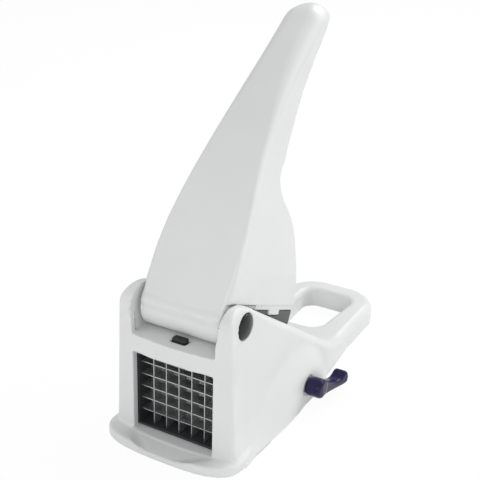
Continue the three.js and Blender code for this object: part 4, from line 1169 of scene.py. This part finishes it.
class FryCutterLook(bpy.types.PropertyGroup):
    """Sizes and colours of the finish."""

    body_step: FloatProperty(name="Body net", description="Spacing of the net on the base housing",
                             default=0.0015, min=0.0008, unit="LENGTH")
    lever_step: FloatProperty(name="Lever net", description="Spacing of the net on the lever",
                              default=0.0014, min=0.0008, unit="LENGTH")
    fine_step: FloatProperty(name="Fine net", description="Spacing of the net on the small fittings",
                             default=0.0007, min=0.0003, unit="LENGTH")
    white: FloatVectorProperty(name="White", description="White moulding", subtype="COLOR",
                               default=(0.705, 0.718, 0.711))
    charcoal: FloatVectorProperty(name="Charcoal", description="Blade frame", subtype="COLOR",
                                  default=(0.028, 0.034, 0.036))
    button: FloatVectorProperty(name="Button", description="Catch button", subtype="COLOR",
                                default=(0.012, 0.013, 0.014))
    grey: FloatVectorProperty(name="Grey", description="Pusher", subtype="COLOR",
                              default=(0.068, 0.075, 0.077))
    inner: FloatVectorProperty(name="Inner grey", description="Stem and crank shaft", subtype="COLOR",
                               default=(0.45, 0.46, 0.46))
    cap: FloatVectorProperty(name="Cap", description="Pivot caps", subtype="COLOR",
                             default=(0.014, 0.018, 0.017))
    purple: FloatVectorProperty(name="Purple", description="Suction lever", subtype="COLOR",
                                default=(0.02, 0.016, 0.062))
    steel: FloatVectorProperty(name="Steel", description="Blades, axle and clip", subtype="COLOR",
                               default=(0.55, 0.565, 0.57))
    rubber: FloatVectorProperty(name="Rubber", description="Suction cup", subtype="COLOR",
                                default=(0.012, 0.012, 0.013))
    key_power: FloatProperty(name="Key light", description="Power of the large soft light",
                             default=17.0, unit="POWER")
    fill_power: FloatProperty(name="Fill light", description="Power of the opposite soft light",
                              default=5.0, unit="POWER")
    top_power: FloatProperty(name="Top light", description="Power of the soft light above the rear",
                             default=11.0, unit="POWER")
    front_power: FloatProperty(name="Front light", description="Power of the soft light near the camera",
                               default=6.5, unit="POWER")
    sky: FloatProperty(name="Sky", description="Strength of the even light all round", default=0.58)


class Maker:
    """What every operator here shares."""

    bl_options = {"REGISTER", "UNDO"}

    def execute(self, context):
        self.make(context.scene.fry_cutter)
        return {"FINISHED"}


class FRY_OT_housing(Maker, bpy.types.Operator):
    """Moulded base housing with ears, chamber, window, foot and grip loop"""

    bl_idname = "fry.housing"
    bl_label = "Base housing"

    def make(self, look):
        low, high = [tuple(v / MM for v in corner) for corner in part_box("base_housing")]
        vertices, quads, away = skin(housing_field, low, high, look.body_step / MM)
        vertices[:, 2] = np.maximum(vertices[:, 2], 0.0)
        piece = solid("housing_skin", vertices, quads, away=away)
        place(piece, "base", white_moulding(look), "base_housing")


class FRY_OT_lever(Maker, bpy.types.Operator):
    """Lever moulding with barrel, cheeks, open channel and rounded grip"""

    bl_idname = "fry.lever"
    bl_label = "Lever"

    def make(self, look):
        table = polygon_table(smooth_outline(), TABLE_LOW, TABLE_HIGH, TABLE_STEP)
        net = skin(lever_field(table), (-LEVER_SIDE, -BARREL, LEVER_LOW),
                   (LEVER_SIDE, LEVER_LENGTH, LEVER_HIGH), look.lever_step / MM)
        piece = hinged("lever_skin", net, LEVER_REST)
        place(piece, "lever", white_moulding(look), "lever_shell")


class FRY_OT_pusher(Maker, bpy.types.Operator):
    """Pusher tray with a peg for every cell of the grid"""

    bl_idname = "fry.pusher"
    bl_label = "Pusher"

    def make(self, look):
        net = skin(pusher_field, (-PUSHER_HALF, PEG_TIP, -PUSHER_LOW),
                   (PUSHER_HALF, PUSHER_DEEP, -PUSHER_TOP), look.fine_step / MM * 1.3)
        piece = hinged("pusher_skin", net, LEVER_CLOSING)
        place(piece, "lever", grey_moulding(look), "pusher_block")


class FRY_OT_blades(Maker, bpy.types.Operator):
    """Ground steel blades and their moulded frame"""

    bl_idname = "fry.blades"
    bl_label = "Blades and frame"

    def make(self, look):
        upright = ground_steel(look, "ground_steel_upright", (6.0, 6.0, 0.35), 0.26)
        level = ground_steel(look, "ground_steel_level", (0.35, 6.0, 6.0), 0.26)
        for i in range(1, CELLS):
            dress(upright, f"upright_blade_{i}")
            dress(level, f"level_blade_{i}")
        dress(charcoal_moulding(look), "blade_frame")


class FRY_OT_catch(Maker, bpy.types.Operator):
    """Catch tongue with its button in the ledge's slot"""

    bl_idname = "fry.catch"
    bl_label = "Catch"

    def make(self, look):
        vertices, quads, away = skin(catch_field, (TONGUE_ROOT, -BUTTON_HALF_Y, TONGUE_LOW),
                                     (BUTTON_X + BUTTON_HALF_X, BUTTON_HALF_Y, BUTTON_TOP),
                                     look.fine_step / MM * 0.6)
        piece = solid("catch_button", vertices, quads, away=away)
        place(piece, "catch", button_moulding(look), "catch_tongue")


class FRY_OT_hinge(Maker, bpy.types.Operator):
    """Domed caps over the hinge axle, and the axle"""

    bl_idname = "fry.hinge"
    bl_label = "Hinge"

    def make(self, look):
        vertices, quads, fans = turned(cap_profile(), CAP_STEPS)
        finish = cap_moulding(look)
        for side, name in ((1, "right"), (-1, "left")):
            points = np.stack([side * vertices[:, 2], vertices[:, 0] + PIVOT_Y,
                               side * vertices[:, 1] + PIVOT_Z], -1)
            piece = solid("cap_" + name, points, quads, fans)
            place(piece, "base", finish, "pivot_cap_" + name)
        dress(ground_steel(look, "turned_steel", (0.5, 6.0, 6.0), 0.3), "hinge_axle")


class FRY_OT_suction(Maker, bpy.types.Operator):
    """Suction lever, its crank shaft, the stem and the rubber cup"""

    bl_idname = "fry.suction"
    bl_label = "Suction foot"

    def make(self, look):
        low = (HUB_IN, CUP_Y - HUB_RADIUS, ARM_NET_LOW)
        high = (ARM_NET_OUT, CUP_Y + ARM_LENGTH, ARM_NET_HIGH)
        vertices, quads, away = skin(suction_lever_field, low, high, look.fine_step / MM)
        piece = solid("suction_paddle", vertices, quads, away=away)
        place(piece, "suction_crank", purple_moulding(look), "suction_lever")
        vertices, quads, fans = turned(rounded_profile(CUP_PROFILE, CUP_ROUNDS, 6), CUP_STEPS)
        vertices[:, 1] += CUP_Y
        piece = solid("cup_skin", vertices, quads, fans)
        place(piece, "suction_foot", soft_rubber(look), "suction_cup")
        dress(inner_moulding(look), "suction_stem", "crank_shaft")
        dress(ground_steel(look, "spring_steel", (3.0, 3.0, 3.0), 0.3), "shaft_clip")


def standing(right, up, back, spot):
    """The matrix of a lamp or camera that stands on a spot and looks away from its back."""
    return Matrix([[right[i], up[i], back[i], spot[i]] for i in range(3)] + [[0, 0, 0, 1]])


def soft_box(name, size, spot, target, power):
    """A square soft light aimed from one place at another."""
    data = bpy.data.lights.new(name, "AREA")
    data.shape = "SQUARE"
    data.size = size
    data.energy = power
    lamp = bpy.data.objects.new(name, data)
    bpy.context.scene.collection.objects.link(lamp)
    back = np.array(spot, float) - np.array(target, float)
    back /= np.linalg.norm(back)
    right = np.cross((0.0, 0.0, 1.0), back)
    right /= np.linalg.norm(right)
    up = np.cross(back, right)
    lamp.matrix_world = standing(right, up, back, spot)


class FRY_OT_stage(Maker, bpy.types.Operator):
    """Pale floor, soft studio light and the photograph's camera"""

    bl_idname = "fry.stage"
    bl_label = "Stage"

    def floor(self):
        """A level square that glows plain white where the camera or a reflection sees it."""
        u = np.linspace(-1.0, 1.0, 3)
        grid = np.stack(np.meshgrid(u, u, indexing="ij"), -1).reshape(-1, 2) * FLOOR_REACH / MM
        vertices = np.concatenate([grid, np.zeros((len(grid), 1))], -1)
        i, j = np.meshgrid(np.arange(2), np.arange(2), indexing="ij")
        first = (i * 3 + j).ravel()
        quads = np.stack([first, first + 3, first + 4, first + 1], -1)
        ground = solid("pale_floor", vertices, quads)
        f = Finish("pale_floor", Roughness=0.9, Specular_IOR_Level=0.1,
                   Base_Color=(FLOOR_TONE, FLOOR_TONE, FLOOR_TONE, 1.0))
        rays = f.node("ShaderNodeLightPath")
        seen = f.maths("MAXIMUM", rays["Is Camera Ray"], rays["Is Glossy Ray"])
        glow = f.node("ShaderNodeEmission", {}, {"Strength": 1.0})["Emission"]
        f.swap("Material Output", seen * FLOOR_GLOW, Value(f, f.shader.outputs[0]), glow)
        ground.data.materials.append(f.material)

    def world(self, strength):
        """Even light all round, and plain white where the camera sees past the floor."""
        world = bpy.data.worlds.new("studio")
        bpy.context.scene.world = world
        world.use_nodes = True
        studio = Graph(world.node_tree)
        even_light = studio.tree.nodes["Background"]
        even_light.inputs["Color"].default_value = WHITE
        even_light.inputs["Strength"].default_value = strength
        rays = studio.node("ShaderNodeLightPath")
        seen = studio.maths("MAXIMUM", rays["Is Camera Ray"], rays["Is Transmission Ray"])
        plain = studio.node("ShaderNodeBackground", {}, {"Color": WHITE, "Strength": 1.0})["Background"]
        studio.swap("World Output", seen, Value(studio, even_light.outputs[0]), plain)

    def camera(self):
        """The photograph's camera: its directions from two angles, then turned by the roll."""
        data = bpy.data.cameras.new("photo_camera")
        data.lens = CAMERA_LENS
        data.sensor_width = CAMERA_SENSOR
        data.clip_start = 0.01
        data.clip_end = 50.0
        az, el, roll = CAMERA_AZIMUTH, CAMERA_ELEVATION, CAMERA_ROLL
        back = np.array([math.sin(az) * math.cos(el), -math.cos(az) * math.cos(el), math.sin(el)])
        right = np.array([math.cos(az), math.sin(az), 0.0])
        up = np.cross(back, right)
        across = math.cos(roll) * right + math.sin(roll) * up
        above = -math.sin(roll) * right + math.cos(roll) * up
        camera = bpy.data.objects.new("photo_camera", data)
        bpy.context.scene.collection.objects.link(camera)
        camera.matrix_world = standing(across, above, back, CAMERA_PLACE)
        bpy.context.scene.camera = camera

    def make(self, look):
        self.floor()
        self.world(look.sky)
        self.camera()
        powers = {"key": look.key_power, "top": look.top_power, "fill": look.fill_power,
                  "front": look.front_power}
        for name, (size, spot, target) in LIGHTS.items():
            soft_box(name + "_light", size, spot, target, powers[name])
        bpy.context.scene.view_settings.view_transform = "Standard"


MAKERS = (FRY_OT_stage, FRY_OT_housing, FRY_OT_lever, FRY_OT_pusher, FRY_OT_blades, FRY_OT_catch,
          FRY_OT_hinge, FRY_OT_suction)


class FRY_PT_panel(bpy.types.Panel):
    """Buttons and settings of the fry cutter in the 3D view's sidebar"""

    bl_idname = "FRY_PT_panel"
    bl_label = "Fry Cutter"
    bl_space_type = "VIEW_3D"
    bl_region_type = "UI"
    bl_category = "Fry Cutter"

    def draw(self, context):
        look = context.scene.fry_cutter
        for name in look.bl_rna.properties.keys():
            if name not in ("rna_type", "name"):
                self.layout.prop(look, name)
        for maker in MAKERS:
            self.layout.operator(maker.bl_idname)


def register():
    bpy.utils.register_class(FryCutterLook)
    for maker in MAKERS:
        bpy.utils.register_class(maker)
    bpy.utils.register_class(FRY_PT_panel)
    bpy.types.Scene.fry_cutter = PointerProperty(type=FryCutterLook)


def unregister():
    del bpy.types.Scene.fry_cutter
    bpy.utils.unregister_class(FRY_PT_panel)
    for maker in reversed(MAKERS):
        bpy.utils.unregister_class(maker)
    bpy.utils.unregister_class(FryCutterLook)


def main():
    register()
    bpy.ops.fry.stage()
    bpy.ops.fry.housing()
    bpy.ops.fry.lever()
    bpy.ops.fry.pusher()
    bpy.ops.fry.blades()
    bpy.ops.fry.catch()
    bpy.ops.fry.hinge()
    bpy.ops.fry.suction()


if __name__ == "__main__":
    main()
